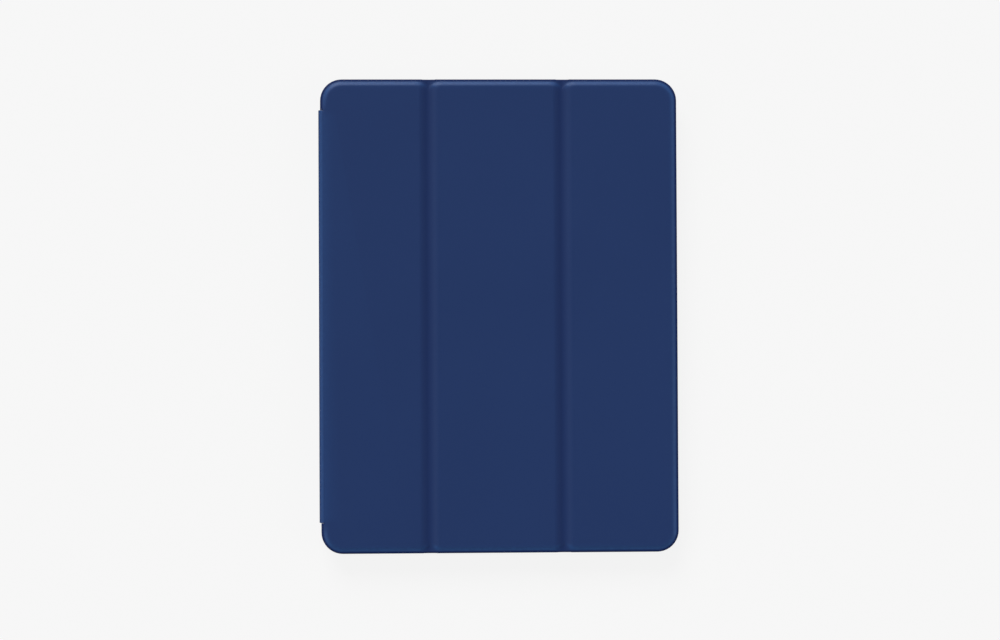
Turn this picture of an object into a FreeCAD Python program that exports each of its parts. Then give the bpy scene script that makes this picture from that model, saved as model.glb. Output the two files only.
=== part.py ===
import FreeCAD, Part
import math
import os
import re
import Sketcher

# Folio for a large tablet with a loose slim keyboard under its three-panel cover.
# Millimetres. The tray's back lies on z = 0, the spine is at -X, the cover's free edge at +X
# and +Y is towards the camera end of the tablet.

V = FreeCAD.Vector
doc = FreeCAD.newDocument("FolioWithKeyboard")
sheet = doc.addObject("Spreadsheet::Sheet", "Sizes")

sizes = [
    # the tablet that the tray holds
    ("tablet_width", 215.0),
    ("tablet_length", 280.8),
    ("tablet_thick", 6.0),
    ("tablet_corner", 12.0),
    ("tablet_play", 0.25),
    ("tablet_lift", 0.1),
    # soft frame round the tablet
    ("frame_wall", 1.4),
    ("frame_end_wall", 3.7),
    ("frame_foot_bevel", 0.8),
    ("frame_rim_bevel", 0.5),
    ("lip_reach", 0.8),
    ("lip_thick", 0.8),
    # hard back plate, keyed into the frame by a tongue
    ("back_thick", 1.6),
    ("tongue_reach", 0.6),
    ("tongue_thick", 0.6),
    ("bond_clear", 0.05),
    # camera window in the back plate
    ("camera_width", 36.0),
    ("camera_length", 36.0),
    ("camera_corner", 9.0),
    ("camera_from_side", 27.0),
    ("camera_from_end", 29.0),
    ("camera_bevel", 0.5),
    # press pads in the frame's walls
    ("button_length", 14.0),
    ("button_width", 3.2),
    ("button_corner", 1.2),
    ("button_clear", 0.2),
    ("button_proud", 0.4),
    ("volume_up_from_end", 36.35),
    ("volume_down_from_end", 54.35),
    ("power_from_side", 27.95),
    # charging slot and speaker slots in the frame's ends
    ("port_width", 15.0),
    ("port_height", 5.6),
    ("port_corner", 2.2),
    ("speaker_slot_length", 9.0),
    ("speaker_slot_height", 1.8),
    ("speaker_slot_corner", 0.5),
    ("speaker_pitch", 12.0),
    ("speaker_place", 54.0),
    # leather, boards and lining
    ("skin_thick", 0.8),
    ("board_thick", 1.4),
    ("lining_thick", 0.6),
    ("hem_width", 3.0),
    ("board_corner", 1.5),
    ("board_clear", 0.1),
    ("lining_inset", 1.2),
    # cover
    ("cover_overhang", 1.5),
    ("side_overhang", 0.55),
    ("cover_corner", 13.2),
    ("cover_edge_round", 1.7),
    ("left_panel_width", 66.7),
    ("middle_panel_width", 82.55),
    ("fold_half_width", 4.0),
    ("fold_side_rise", 1.1),
    ("fold_sag", 0.35),
    ("fold_end_inset", 0.1),
    # spine
    ("spine_length", 253.6),
    ("spine_board_thick", 0.8),
    ("spine_lining_thick", 0.4),
    ("spine_clear", 0.15),
    ("spine_step", 1.1),
    ("spine_end_play", 0.15),
    ("spine_notch_margin", 0.3),
    ("spine_board_inset", 0.6),
    ("back_strip_width", 12.0),
    # magnets in the cover
    ("magnet_length", 22.0),
    ("magnet_width", 6.0),
    ("magnet_pitch", 60.0),
    ("magnet_edge", 7.0),
    ("magnet_clear", 0.1),
    ("catch_width", 14.0),
    ("catch_overrun", 9.0),
    # keyboard case
    ("keyboard_place", 8.0),
    ("keyboard_corner", 5.0),
    ("rear_bar", 12.5),
    ("front_margin", 4.5),
    ("side_margin", 6.4),
    ("deck_thick", 1.4),
    ("deck_edge_bevel", 0.5),
    ("base_floor", 1.0),
    ("base_wall", 1.6),
    ("base_edge_bevel", 0.8),
    ("switch_board_thick", 0.6),
    ("switch_board_clear", 0.3),
    ("foot_radius", 4.5),
    ("foot_rise", 0.45),
    ("foot_recess", 0.3),
    ("foot_inset", 13.0),
    ("foot_gap", 0.1),
    ("key_to_rim", 0.3),
    # keys
    ("key_pitch", 18.8),
    ("row_pitch", 18.2),
    ("function_pitch", 10.0),
    ("key_space", 2.8),
    ("key_clear", 0.4),
    ("key_rise", 1.3),
    ("key_sink", 1.3),
    ("key_travel", 1.2),
    ("key_stop", 0.1),
    ("key_taper", 8.0),
    ("arrow_space", 1.2),
    ("tab_units", 1.25),
    ("caps_units", 1.5),
    ("shift_units", 2.0),
    ("command_units", 1.25),
    ("space_units", 4.75),
    # inside the keyboard's rear bar
    ("battery_length", 90.0),
    ("battery_width", 9.0),
    ("battery_thick", 1.5),
    ("battery_place", 20.0),
    ("control_length", 44.0),
    ("control_width", 8.4),
    ("control_thick", 0.8),
    ("control_place", 104.0),
    ("holder_width", 11.0),
    ("holder_thick", 0.7),
    ("holder_clear", 0.1),
    ("holder_rear", 24.0),
    ("holder_spread", 30.0),
    ("holder_side", 100.0),
    ("light_width", 1.6),
    ("light_corner", 0.45),
    ("light_pitch", 6.0),
    ("light_place", 92.0),
    # charging port and power switch on the keyboard's sides
    ("plug_place", 9.6),
    ("plug_width", 8.9),
    ("plug_height", 3.2),
    ("plug_depth", 6.5),
    ("plug_wall", 0.3),
    ("plug_back", 0.6),
    ("plug_clear", 0.05),
    ("blade_width", 6.7),
    ("blade_thick", 0.7),
    ("blade_short", 0.6),
    ("knob_place", 8.9),
    ("knob_length", 4.0),
    ("knob_height", 0.9),
    ("knob_proud", 0.7),
    ("knob_clear", 0.15),
    ("knob_stroke", 2.5),
    ("slider_flange", 0.3),
    ("slider_thick", 0.6),
]

# places and sizes that follow from the ones above
formulas = {
    "cavity_width": "tablet_width + 2 * tablet_play",
    "cavity_length": "tablet_length + 2 * tablet_play",
    "cavity_corner": "tablet_corner + tablet_play",
    "spine_thick": "skin_thick + spine_board_thick + spine_lining_thick",
    "half_width": "(spine_thick + spine_clear + 2 * frame_wall + cavity_width + side_overhang) / 2",
    "spine_out": "0 - half_width",
    "spine_in": "spine_out + spine_thick",
    "frame_left": "spine_in + spine_clear",
    "frame_right": "half_width - side_overhang",
    "frame_middle": "(frame_left + frame_right) / 2",
    "cavity_left": "frame_left + frame_wall",
    "cavity_right": "frame_right - frame_wall",
    "cavity_end": "cavity_length / 2",
    "frame_end": "cavity_end + frame_end_wall",
    "frame_corner": "cavity_corner + frame_wall",
    "volume_up_y": "frame_end - volume_up_from_end",
    "volume_down_y": "frame_end - volume_down_from_end",
    "power_x": "frame_right - power_from_side",
    "cover_end": "frame_end + cover_overhang",
    "cover_left": "spine_out + spine_step",
    "cover_right": "half_width",
    "notch_edge": "cover_left + cover_edge_round + spine_notch_margin",
    "left_fold_x": "cover_left + left_panel_width",
    "right_fold_x": "left_fold_x + middle_panel_width",
    "spine_end": "spine_length / 2",
    "tablet_middle_z": "back_thick + tablet_thick / 2",
    "lip_low": "back_thick + tablet_thick + tablet_lift",
    "rim_top": "lip_low + lip_thick",
    "keys_low": "rim_top + key_to_rim",
    "deck_low": "keys_low + key_rise",
    "base_low": "deck_low + deck_thick",
    "switch_low": "deck_low + key_sink + key_travel + key_stop",
    "floor_low": "switch_low + switch_board_thick",
    "base_high": "floor_low + base_floor",
    "lining_low": "base_high + foot_rise + foot_gap",
    "board_low": "lining_low + lining_thick",
    "skin_low": "board_low + board_thick",
    "cover_top": "skin_low + skin_thick",
    "low_axis": "spine_thick",
    "high_axis": "cover_top - spine_thick",
    "key_units": "14",
    "keyboard_rear": "left_fold_x + keyboard_place",
    "keys_rear": "keyboard_rear + rear_bar",
    "letters_rear": "keys_rear + function_pitch",
    "keyboard_front": "letters_rear + 5 * row_pitch + front_margin",
    "field_end": "key_units * key_pitch / 2",
    "keyboard_end": "field_end + side_margin",
    "bar_middle": "keyboard_rear + rear_bar / 2",
    "plug_x": "keyboard_rear + plug_place",
    "knob_x": "keyboard_rear + knob_place",
    "body_middle_z": "(deck_low + base_high) / 2",
    "knob_middle_z": "(base_low + floor_low) / 2",
    "window_length": "knob_length + knob_stroke + 2 * knob_clear",
}

names = [name for name, size in sizes]
for row, (name, size) in enumerate(sizes, 1):
    sheet.set("A%d" % row, name)
    sheet.set("B%d" % row, str(size))
    sheet.setAlias("B%d" % row, name)
doc.recompute()


def bound(text):
    longer = text
    while True:
        text = longer
        longer = re.sub("[a-z_]+", lambda m: "(%s)" % formulas.get(m.group(), m.group())
                        if m.group() in formulas else m.group(), text)
        if longer == text:
            break
    return re.sub("[a-z_]+", lambda m: "Sizes." + m.group() if m.group() in names else m.group(), text)


def value(text):
    return float(sheet.evalExpression(bound(text)))


pieces = []


def new_body(label, level="0", piece=True):
    body = doc.addObject("PartDesign::Body", label.title().replace("_", ""))
    body.Label = label
    body.setExpression("Placement.Base.z", bound(level))
    if piece:
        pieces.append(body)
    return body


def origin_feature(body, role):
    return [f for f in body.Origin.OriginFeatures if f.Role == role][0]


# A sketch on one of the body's planes, moved along that plane's own axis of the object.
def new_sketch(body, name, plane="XY_Plane", level="0"):
    sketch = body.newObject("Sketcher::SketchObject", body.Name + name)
    sketch.AttachmentSupport = [(origin_feature(body, plane), "")]
    sketch.MapMode = "FlatFace"
    along = "0 - (%s)" % level if plane == "XZ_Plane" else level
    sketch.setExpression("AttachmentOffset.Base.z", bound(along))
    return sketch


def fix(sketch, kind, text, *where):
    number = sketch.addConstraint(Sketcher.Constraint(kind, *where, value(text)))
    sketch.setExpression("Constraints[%d]" % number, bound(text))


# A rectangle, counter-clockwise from its low corner, with a size or None for each corner,
# which is round or, where asked, cut off straight.
def outline(sketch, low_x, high_x, low_y, high_y, sizes_at, straight=False):
    if not isinstance(sizes_at, (list, tuple)):
        sizes_at = [sizes_at] * 4
    corners = [V(value(x), value(y)) for x, y in
               ((low_x, low_y), (high_x, low_y), (high_x, high_y), (low_x, high_y))]
    ways = [V(1, 0), V(0, 1), V(-1, 0), V(0, -1)]
    reach = [value(size) if size else 0.0 for size in sizes_at]
    lines = []
    bends = []
    for i in range(4):
        j = (i + 1) % 4
        start = corners[i] + ways[i] * reach[i]
        end = corners[j] - ways[i] * reach[j]
        lines.append(sketch.addGeometry(Part.LineSegment(start, end)))
        if not sizes_at[j]:
            bends.append(None)
        elif straight:
            bends.append(sketch.addGeometry(Part.LineSegment(end, corners[j] + ways[j] * reach[j])))
        else:
            circle = Part.Circle(end + ways[j] * reach[j], V(0, 0, 1), reach[j])
            turn = (i - 1) * math.pi / 2
            bends.append(sketch.addGeometry(Part.ArcOfCircle(circle, turn, turn + math.pi / 2)))
    for i in range(4):
        j = (i + 1) % 4
        join = "Coincident" if straight else "Tangent"
        if bends[i] is None:
            sketch.addConstraint(Sketcher.Constraint("Coincident", lines[i], 2, lines[j], 1))
        else:
            sketch.addConstraint(Sketcher.Constraint(join, lines[i], 2, bends[i], 1))
            sketch.addConstraint(Sketcher.Constraint(join, bends[i], 2, lines[j], 1))
        if bends[i] is not None and straight:
            along = ways[i] + ways[j]
            for kind, sign in (("DistanceX", along.x), ("DistanceY", along.y)):
                fix(sketch, kind, "%d * (%s)" % (sign, sizes_at[j]), bends[i], 1, bends[i], 2)
        elif bends[i] is not None:
            fix(sketch, "Radius", sizes_at[j], bends[i])
        sketch.addConstraint(Sketcher.Constraint("Vertical" if i % 2 else "Horizontal", lines[i]))
    fix(sketch, "DistanceY", low_y, -1, 1, lines[0], 1)
    fix(sketch, "DistanceX", high_x, -1, 1, lines[1], 1)
    fix(sketch, "DistanceY", high_y, -1, 1, lines[2], 1)
    fix(sketch, "DistanceX", low_x, -1, 1, lines[3], 1)
    return sketch


def disc(sketch, x, y, radius):
    circle = sketch.addGeometry(Part.Circle(V(value(x), value(y)), V(0, 0, 1), value(radius)))
    fix(sketch, "Radius", radius, circle)
    fix(sketch, "DistanceX", x, -1, 1, circle, 3)
    fix(sketch, "DistanceY", y, -1, 1, circle, 3)
    return sketch


# The quarter of a ring that leather makes where it turns round an edge of the closed folio.
def quarter_ring(sketch, x, y, inner, outer, turn):
    centre = V(value(x), value(y))
    rings = []
    for radius in (inner, outer):
        circle = Part.Circle(centre, V(0, 0, 1), value(radius))
        arc = sketch.addGeometry(Part.ArcOfCircle(circle, turn, turn + math.pi / 2))
        fix(sketch, "Radius", radius, arc)
        rings.append(arc)
    low, high = rings
    sketch.addConstraint(Sketcher.Constraint("Coincident", low, 3, high, 3))
    fix(sketch, "DistanceX", x, -1, 1, high, 3)
    fix(sketch, "DistanceY", y, -1, 1, high, 3)
    first = "Vertical" if abs(math.cos(turn)) < 0.5 else "Horizontal"
    last = "Horizontal" if first == "Vertical" else "Vertical"
    geometry = sketch.Geometry
    for arc in rings:
        sketch.addConstraint(Sketcher.Constraint(first, arc, 1, high, 3))
        sketch.addConstraint(Sketcher.Constraint(last, arc, 2, high, 3))
    for end in (1, 2):
        points = [geometry[arc].StartPoint if end == 1 else geometry[arc].EndPoint for arc in rings]
        line = sketch.addGeometry(Part.LineSegment(points[0], points[1]))
        sketch.addConstraint(Sketcher.Constraint("Coincident", line, 1, low, end))
        sketch.addConstraint(Sketcher.Constraint("Coincident", line, 2, high, end))
    return sketch


# A strip with a flat underside and a top that sags in a shallow arc between its two sides.
def valley(sketch, low_x, high_x, low_y, side, sag):
    left, right = value(low_x), value(high_x)
    low, high = value(low_y), value(low_y + " + " + side)
    points = [V(left, high), V(left, low), V(right, low), V(right, high)]
    lines = [sketch.addGeometry(Part.LineSegment(points[i], points[i + 1])) for i in range(3)]
    half = "((%s) - (%s)) / 2" % (high_x, low_x)
    radius = "((%s) * (%s) + (%s) * (%s)) / (2 * (%s))" % (half, half, sag, sag, sag)
    centre = V((left + right) / 2, high - value(sag) + value(radius))
    spread = math.asin((right - left) / 2 / value(radius))
    circle = Part.Circle(centre, V(0, 0, 1), value(radius))
    arc = sketch.addGeometry(Part.ArcOfCircle(circle, -math.pi / 2 - spread, -math.pi / 2 + spread))
    sketch.addConstraint(Sketcher.Constraint("Coincident", lines[0], 2, lines[1], 1))
    sketch.addConstraint(Sketcher.Constraint("Coincident", lines[1], 2, lines[2], 1))
    sketch.addConstraint(Sketcher.Constraint("Coincident", lines[0], 1, arc, 1))
    sketch.addConstraint(Sketcher.Constraint("Coincident", lines[2], 2, arc, 2))
    sketch.addConstraint(Sketcher.Constraint("Vertical", lines[0]))
    sketch.addConstraint(Sketcher.Constraint("Horizontal", lines[1]))
    sketch.addConstraint(Sketcher.Constraint("Vertical", lines[2]))
    fix(sketch, "DistanceX", low_x, -1, 1, lines[1], 1)
    fix(sketch, "DistanceX", high_x, -1, 1, lines[1], 2)
    fix(sketch, "DistanceY", low_y, -1, 1, lines[1], 1)
    fix(sketch, "DistanceY", low_y + " + " + side, -1, 1, lines[0], 1)
    fix(sketch, "DistanceY", low_y + " + " + side, -1, 1, lines[2], 2)
    fix(sketch, "Radius", radius, arc)
    return sketch


def finish(body, feature):
    body.Tip = feature
    doc.recompute()
    return feature


def pad(body, sketch, length, back=False, both=False, taper=None):
    feature = body.newObject("PartDesign::Pad", sketch.Name + "Pad")
    feature.Profile = sketch
    feature.setExpression("Length", bound(length))
    feature.Reversed = back
    if both:
        feature.SideType = "Symmetric"
    if taper:
        feature.setExpression("TaperAngle", bound(taper))
    return finish(body, feature)


def pocket(body, sketch, depth, back=False):
    before = body.Shape.Volume
    feature = body.newObject("PartDesign::Pocket", sketch.Name + "Cut")
    feature.Profile = sketch
    feature.setExpression("Length", bound(depth))
    feature.Reversed = back
    finish(body, feature)
    if body.Shape.Volume > before - 1e-6:
        raise ValueError(feature.Name + " cuts nothing")
    return feature


def through_both_ends(body, sketch):
    before = body.Shape.Volume
    feature = body.newObject("PartDesign::Pocket", sketch.Name + "Cut")
    feature.Profile = sketch
    feature.Type = "ThroughAll"
    feature.SideType = "Symmetric"
    finish(body, feature)
    if body.Shape.Volume > before - 1e-6:
        raise ValueError(feature.Name + " cuts nothing")
    return feature


def repeat(body, feature, pitch, count):
    pattern = body.newObject("PartDesign::LinearPattern", feature.Name + "Row")
    pattern.Originals = [feature]
    pattern.Direction = (origin_feature(body, "Y_Axis"), [""])
    pattern.Reversed = True
    pattern.setExpression("Length", bound("(%s) * %d" % (pitch, count - 1)))
    pattern.Occurrences = count
    return finish(body, pattern)


def round_edges(body, feature, name, radius, wanted):
    edges = ["Edge%d" % n for n, edge in enumerate(feature.Shape.Edges, 1) if wanted(edge)]
    fillet = body.newObject("PartDesign::Fillet", body.Name + name)
    fillet.Base = (feature, edges)
    fillet.setExpression("Radius", bound(radius))
    return finish(body, fillet)


def bevel_edges(body, feature, name, size, wanted):
    edges = ["Edge%d" % n for n, edge in enumerate(feature.Shape.Edges, 1) if wanted(edge)]
    chamfer = body.newObject("PartDesign::Chamfer", body.Name + name)
    chamfer.Base = (feature, edges)
    chamfer.setExpression("Size", bound(size))
    return finish(body, chamfer)


# True for an edge that lies at one height of its body.
def at_height(text):
    level = value(text)
    return lambda edge: abs(edge.BoundBox.ZMin - level) < 1e-4 and abs(edge.BoundBox.ZMax - level) < 1e-4


# Bumper frame: soft ring with a lip over the tablet's edge.
bumper = new_body("bumper_frame")
blank = outline(new_sketch(bumper, "Blank"), "frame_left", "frame_right", "0 - frame_end", "frame_end",
                "frame_corner")
ring = pad(bumper, blank, "rim_top")
ring = bevel_edges(bumper, ring, "Foot", "frame_foot_bevel", at_height("0"))
ring = bevel_edges(bumper, ring, "Rim", "frame_rim_bevel", at_height("rim_top"))
mouth = outline(new_sketch(bumper, "Mouth"), "cavity_left + lip_reach", "cavity_right - lip_reach",
                "lip_reach - cavity_end", "cavity_end - lip_reach", "cavity_corner - lip_reach")
pocket(bumper, mouth, "rim_top", back=True)
cavity = outline(new_sketch(bumper, "Cavity"), "cavity_left", "cavity_right", "0 - cavity_end", "cavity_end",
                 "cavity_corner")
pocket(bumper, cavity, "lip_low", back=True)
groove = outline(new_sketch(bumper, "Groove", level="(back_thick - tongue_thick) / 2 - bond_clear"),
                 "cavity_left - tongue_reach", "cavity_right + tongue_reach", "0 - cavity_end - tongue_reach",
                 "cavity_end + tongue_reach", "cavity_corner + tongue_reach")
pocket(bumper, groove, "tongue_thick + 2 * bond_clear", back=True)
recess = outline(new_sketch(bumper, "StripRecess"), "frame_left - frame_wall", "cavity_left + lip_reach",
                 "0 - spine_end - spine_end_play", "spine_end + spine_end_play", None)
pocket(bumper, recess, "skin_thick", back=True)
port = outline(new_sketch(bumper, "Port", "XZ_Plane", "0 - cavity_end + lip_reach"),
               "frame_middle - port_width / 2", "frame_middle + port_width / 2",
               "tablet_middle_z - port_height / 2", "tablet_middle_z + port_height / 2", "port_corner")
pocket(bumper, port, "frame_end_wall + 2 * lip_reach", back=True)
speakers = new_sketch(bumper, "Speakers", "XZ_Plane")
for side in ("-", "+"):
    for step in (-1, 0, 1):
        middle = "frame_middle %s speaker_place + %d * speaker_pitch" % (side, step)
        outline(speakers, middle + " - speaker_slot_length / 2", middle + " + speaker_slot_length / 2",
                "tablet_middle_z - speaker_slot_height / 2", "tablet_middle_z + speaker_slot_height / 2",
                "speaker_slot_corner", straight=True)
through_both_ends(bumper, speakers)
volumes = new_sketch(bumper, "VolumeWindows", "YZ_Plane", "cavity_right - lip_reach")
for place in ("volume_up_y", "volume_down_y"):
    outline(volumes, place + " - button_length / 2 - button_clear", place + " + button_length / 2 + button_clear",
            "tablet_middle_z - button_width / 2 - button_clear",
            "tablet_middle_z + button_width / 2 + button_clear", "button_corner + button_clear")
pocket(bumper, volumes, "frame_wall + 2 * lip_reach", back=True)
power_window = outline(new_sketch(bumper, "PowerWindow", "XZ_Plane", "cavity_end - lip_reach"),
                       "power_x - button_length / 2 - button_clear",
                       "power_x + button_length / 2 + button_clear",
                       "tablet_middle_z - button_width / 2 - button_clear",
                       "tablet_middle_z + button_width / 2 + button_clear", "button_corner + button_clear")
pocket(bumper, power_window, "frame_end_wall + 2 * lip_reach")

# Back plate: closes the ring from below, with its tongue in the ring's groove.
back = new_body("back_plate")
plate = outline(new_sketch(back, "Plate"), "cavity_left + bond_clear", "cavity_right - bond_clear",
                "bond_clear - cavity_end", "cavity_end - bond_clear", "cavity_corner - bond_clear")
pad(back, plate, "back_thick")
tongue = outline(new_sketch(back, "Tongue", level="(back_thick - tongue_thick) / 2"),
                 "cavity_left - tongue_reach + bond_clear", "cavity_right + tongue_reach - bond_clear",
                 "bond_clear - cavity_end - tongue_reach", "cavity_end + tongue_reach - bond_clear",
                 "cavity_corner + tongue_reach - bond_clear")
pad(back, tongue, "tongue_thick")
camera = outline(new_sketch(back, "Camera"), "frame_right - camera_from_side - camera_width / 2",
                 "frame_right - camera_from_side + camera_width / 2",
                 "frame_end - camera_from_end - camera_length / 2",
                 "frame_end - camera_from_end + camera_length / 2", "camera_corner")
window = pocket(back, camera, "back_thick", back=True)
camera_low = value("frame_end - camera_from_end - camera_length / 2")
camera_left = value("frame_right - camera_from_side - camera_width / 2")
camera_right = value("frame_right - camera_from_side + camera_width / 2")
camera_high = value("frame_end - camera_from_end + camera_length / 2")


def camera_rim(edge):
    box = edge.BoundBox
    inside = box.XMin > camera_left - 0.01 and box.XMax < camera_right + 0.01
    inside = inside and box.YMin > camera_low - 0.01 and box.YMax < camera_high + 0.01
    return inside and at_height("0")(edge)


bevel_edges(back, window, "CameraBevel", "camera_bevel", camera_rim)
recess = outline(new_sketch(back, "StripRecess"), "cavity_left - frame_wall",
                 "spine_in + back_strip_width + bond_clear",
                 "0 - spine_end - spine_end_play", "spine_end + spine_end_play", None)
pocket(back, recess, "skin_thick", back=True)

# Press pads: they fill the windows in the frame's walls and stand a little proud.
for label, place in (("volume_up_button", "volume_up_y"), ("volume_down_button", "volume_down_y")):
    button = new_body(label)
    face = outline(new_sketch(button, "Face", "YZ_Plane", "cavity_right"),
                   place + " - button_length / 2", place + " + button_length / 2",
                   "tablet_middle_z - button_width / 2", "tablet_middle_z + button_width / 2", "button_corner")
    pad(button, face, "frame_wall + button_proud")
button = new_body("power_button")
face = outline(new_sketch(button, "Face", "XZ_Plane", "cavity_end"),
               "power_x - button_length / 2", "power_x + button_length / 2",
               "tablet_middle_z - button_width / 2", "tablet_middle_z + button_width / 2", "button_corner")
pad(button, face, "frame_end_wall + button_proud", back=True)

# Leather from the back round the spine to the cover, with the spine's board and lining.
strip = new_body("skin_back_strip")
flat = outline(new_sketch(strip, "Flat"), "spine_in", "spine_in + back_strip_width", "0 - spine_end", "spine_end",
               None)
pad(strip, flat, "skin_thick")
turn_low = new_body("skin_back_fold")
section = quarter_ring(new_sketch(turn_low, "Section", "XZ_Plane"), "spine_in", "low_axis",
                       "spine_thick - skin_thick", "spine_thick", math.pi)
pad(turn_low, section, "spine_length", both=True)
spine_skin = new_body("skin_spine", "low_axis")
flat = outline(new_sketch(spine_skin, "Flat"), "spine_out", "spine_out + skin_thick", "0 - spine_end",
               "spine_end", None)
pad(spine_skin, flat, "high_axis - low_axis")
spine_board = new_body("spine_board", "low_axis + spine_board_inset")
flat = outline(new_sketch(spine_board, "Flat"), "spine_out + skin_thick",
               "spine_out + skin_thick + spine_board_thick", "hem_width - spine_end", "spine_end - hem_width", None)
pad(spine_board, flat, "high_axis - low_axis - 2 * spine_board_inset")
spine_lining = new_body("lining_spine", "low_axis + spine_board_inset")
flat = outline(new_sketch(spine_lining, "Flat"), "spine_in - spine_lining_thick", "spine_in",
               "lining_inset - spine_end", "spine_end - lining_inset", None)
pad(spine_lining, flat, "lining_low - low_axis - 2 * spine_board_inset")
turn_high = new_body("skin_cover_fold")
section = quarter_ring(new_sketch(turn_high, "Section", "XZ_Plane"), "spine_in", "high_axis",
                       "spine_thick - skin_thick", "spine_thick", math.pi / 2)
pad(turn_high, section, "spine_length", both=True)
tail = outline(new_sketch(turn_high, "Tail", level="skin_low"), "spine_in", "notch_edge", "0 - spine_end",
               "spine_end", None)
pad(turn_high, tail, "skin_thick")


# One panel of the cover: a leather cap with turned-in edges, a board inside it and lining below.
def panel(side, low_x, high_x, low_outer, high_outer, notch=False):
    skin = new_body("skin_%s_panel" % side, "board_low")
    left_round = "cover_corner" if low_outer else None
    right_round = "cover_corner" if high_outer else None
    rounds = (left_round, right_round, right_round, left_round)
    blank = outline(new_sketch(skin, "Blank"), low_x, high_x, "0 - cover_end", "cover_end", rounds)
    cap = pad(skin, blank, "board_thick + skin_thick")
    notch_edge = value("notch_edge") + 1e-3
    notch_end = value("spine_end + spine_end_play") + 1e-3
    if notch:
        gap = outline(new_sketch(skin, "SpineNotch"), low_x + " - spine_step", "notch_edge",
                      "0 - spine_end - spine_end_play", "spine_end + spine_end_play", None)
        cap = pocket(skin, gap, "board_thick + skin_thick", back=True)

    def outer_edge(edge):
        box = edge.BoundBox
        in_notch = notch and box.XMax < notch_edge and box.YMax < notch_end and box.YMin > -notch_end
        return at_height("board_thick + skin_thick")(edge) and not in_notch

    round_edges(skin, cap, "Edge", "cover_edge_round", outer_edge)
    inner = ["cover_corner - hem_width" if r == "cover_corner" else "board_corner + board_clear" for r in rounds]
    hollow = outline(new_sketch(skin, "Hollow"), low_x + " + hem_width", high_x + " - hem_width",
                     "hem_width - cover_end", "cover_end - hem_width", inner)
    pocket(skin, hollow, "board_thick", back=True)

    board = new_body("%s_panel_board" % side, "board_low")
    inset = "hem_width + board_clear"
    inner = ["cover_corner - hem_width - board_clear" if r == "cover_corner" else "board_corner" for r in rounds]
    blank = outline(new_sketch(board, "Blank"), "%s + %s" % (low_x, inset), "%s - (%s)" % (high_x, inset),
                    "%s - cover_end" % inset, "cover_end - (%s)" % inset, inner)
    pad(board, blank, "board_thick")

    lining = new_body("lining_%s_panel" % side, "lining_low")
    left_inset = "%s + lining_inset" % low_x if low_outer else low_x
    right_inset = "%s - lining_inset" % high_x if high_outer else high_x
    corner = "cover_corner - lining_inset"
    rounds = (corner if low_outer else None, corner if high_outer else None,
              corner if high_outer else None, corner if low_outer else None)
    blank = outline(new_sketch(lining, "Blank"), left_inset, right_inset, "lining_inset - cover_end",
                    "cover_end - lining_inset", rounds)
    pad(lining, blank, "lining_thick")
    return board


# The flexible strip between two panels: leather that sags between them over a run of lining.
def fold(side, middle):
    low_x = middle + " - fold_half_width"
    high_x = middle + " + fold_half_width"
    skin = new_body("skin_%s_fold" % side)
    section = valley(new_sketch(skin, "Section", "XZ_Plane"), low_x, high_x, "board_low", "fold_side_rise",
                     "fold_sag")
    pad(skin, section, "2 * (cover_end - fold_end_inset)", both=True)
    lining = new_body("lining_%s_fold" % side, "lining_low")
    flat = outline(new_sketch(lining, "Flat"), low_x, high_x, "lining_inset - cover_end",
                   "cover_end - lining_inset", None)
    pad(lining, flat, "lining_thick")


left_board = panel("left", "cover_left", "left_fold_x - fold_half_width", True, False, notch=True)
fold("left", "left_fold_x")
middle_board = panel("middle", "left_fold_x + fold_half_width", "right_fold_x - fold_half_width", False, False)
fold("right", "right_fold_x")
right_board = panel("right", "right_fold_x + fold_half_width", "cover_right", False, True)


# A row of bar magnets in slots cut through a panel's board.
def magnet_row(label, board, low_x, count):
    high_x = low_x + " + magnet_width"
    first = "magnet_pitch * %d / 2" % (count - 1)
    low_y = first + " - magnet_length / 2"
    high_y = first + " + magnet_length / 2"
    slot = outline(new_sketch(board, "Slot"), low_x + " - magnet_clear", high_x + " + magnet_clear",
                   low_y + " - magnet_clear", high_y + " + magnet_clear", None)
    repeat(board, pocket(board, slot, "board_thick", back=True), "magnet_pitch", count)
    bars = new_body(label, "board_low")
    bar = outline(new_sketch(bars, "Bar"), low_x, high_x, low_y, high_y, None)
    repeat(bars, pad(bars, bar, "board_thick"), "magnet_pitch", count)


magnet_row("stand_magnets", left_board, "cover_left + magnet_edge", 4)
magnet_row("closing_magnets", right_board, "cover_right - magnet_edge - magnet_width", 4)

# Steel strips in the middle panel that the keyboard's magnets hold on to.
catch_low = "keyboard_rear + holder_rear - catch_overrun"
catch_high = "keyboard_rear + holder_rear + holder_spread + catch_overrun"
slot = outline(new_sketch(middle_board, "CatchSlot"), catch_low + " - magnet_clear",
               catch_high + " + magnet_clear", "holder_side - catch_width / 2 - magnet_clear",
               "holder_side + catch_width / 2 + magnet_clear", None)
repeat(middle_board, pocket(middle_board, slot, "board_thick", back=True), "2 * holder_side", 2)
catches = new_body("keyboard_catch_strips", "board_low")
bar = outline(new_sketch(catches, "Bar"), catch_low, catch_high, "holder_side - catch_width / 2",
              "holder_side + catch_width / 2", None)
repeat(catches, pad(catches, bar, "board_thick"), "2 * holder_side", 2)

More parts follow.
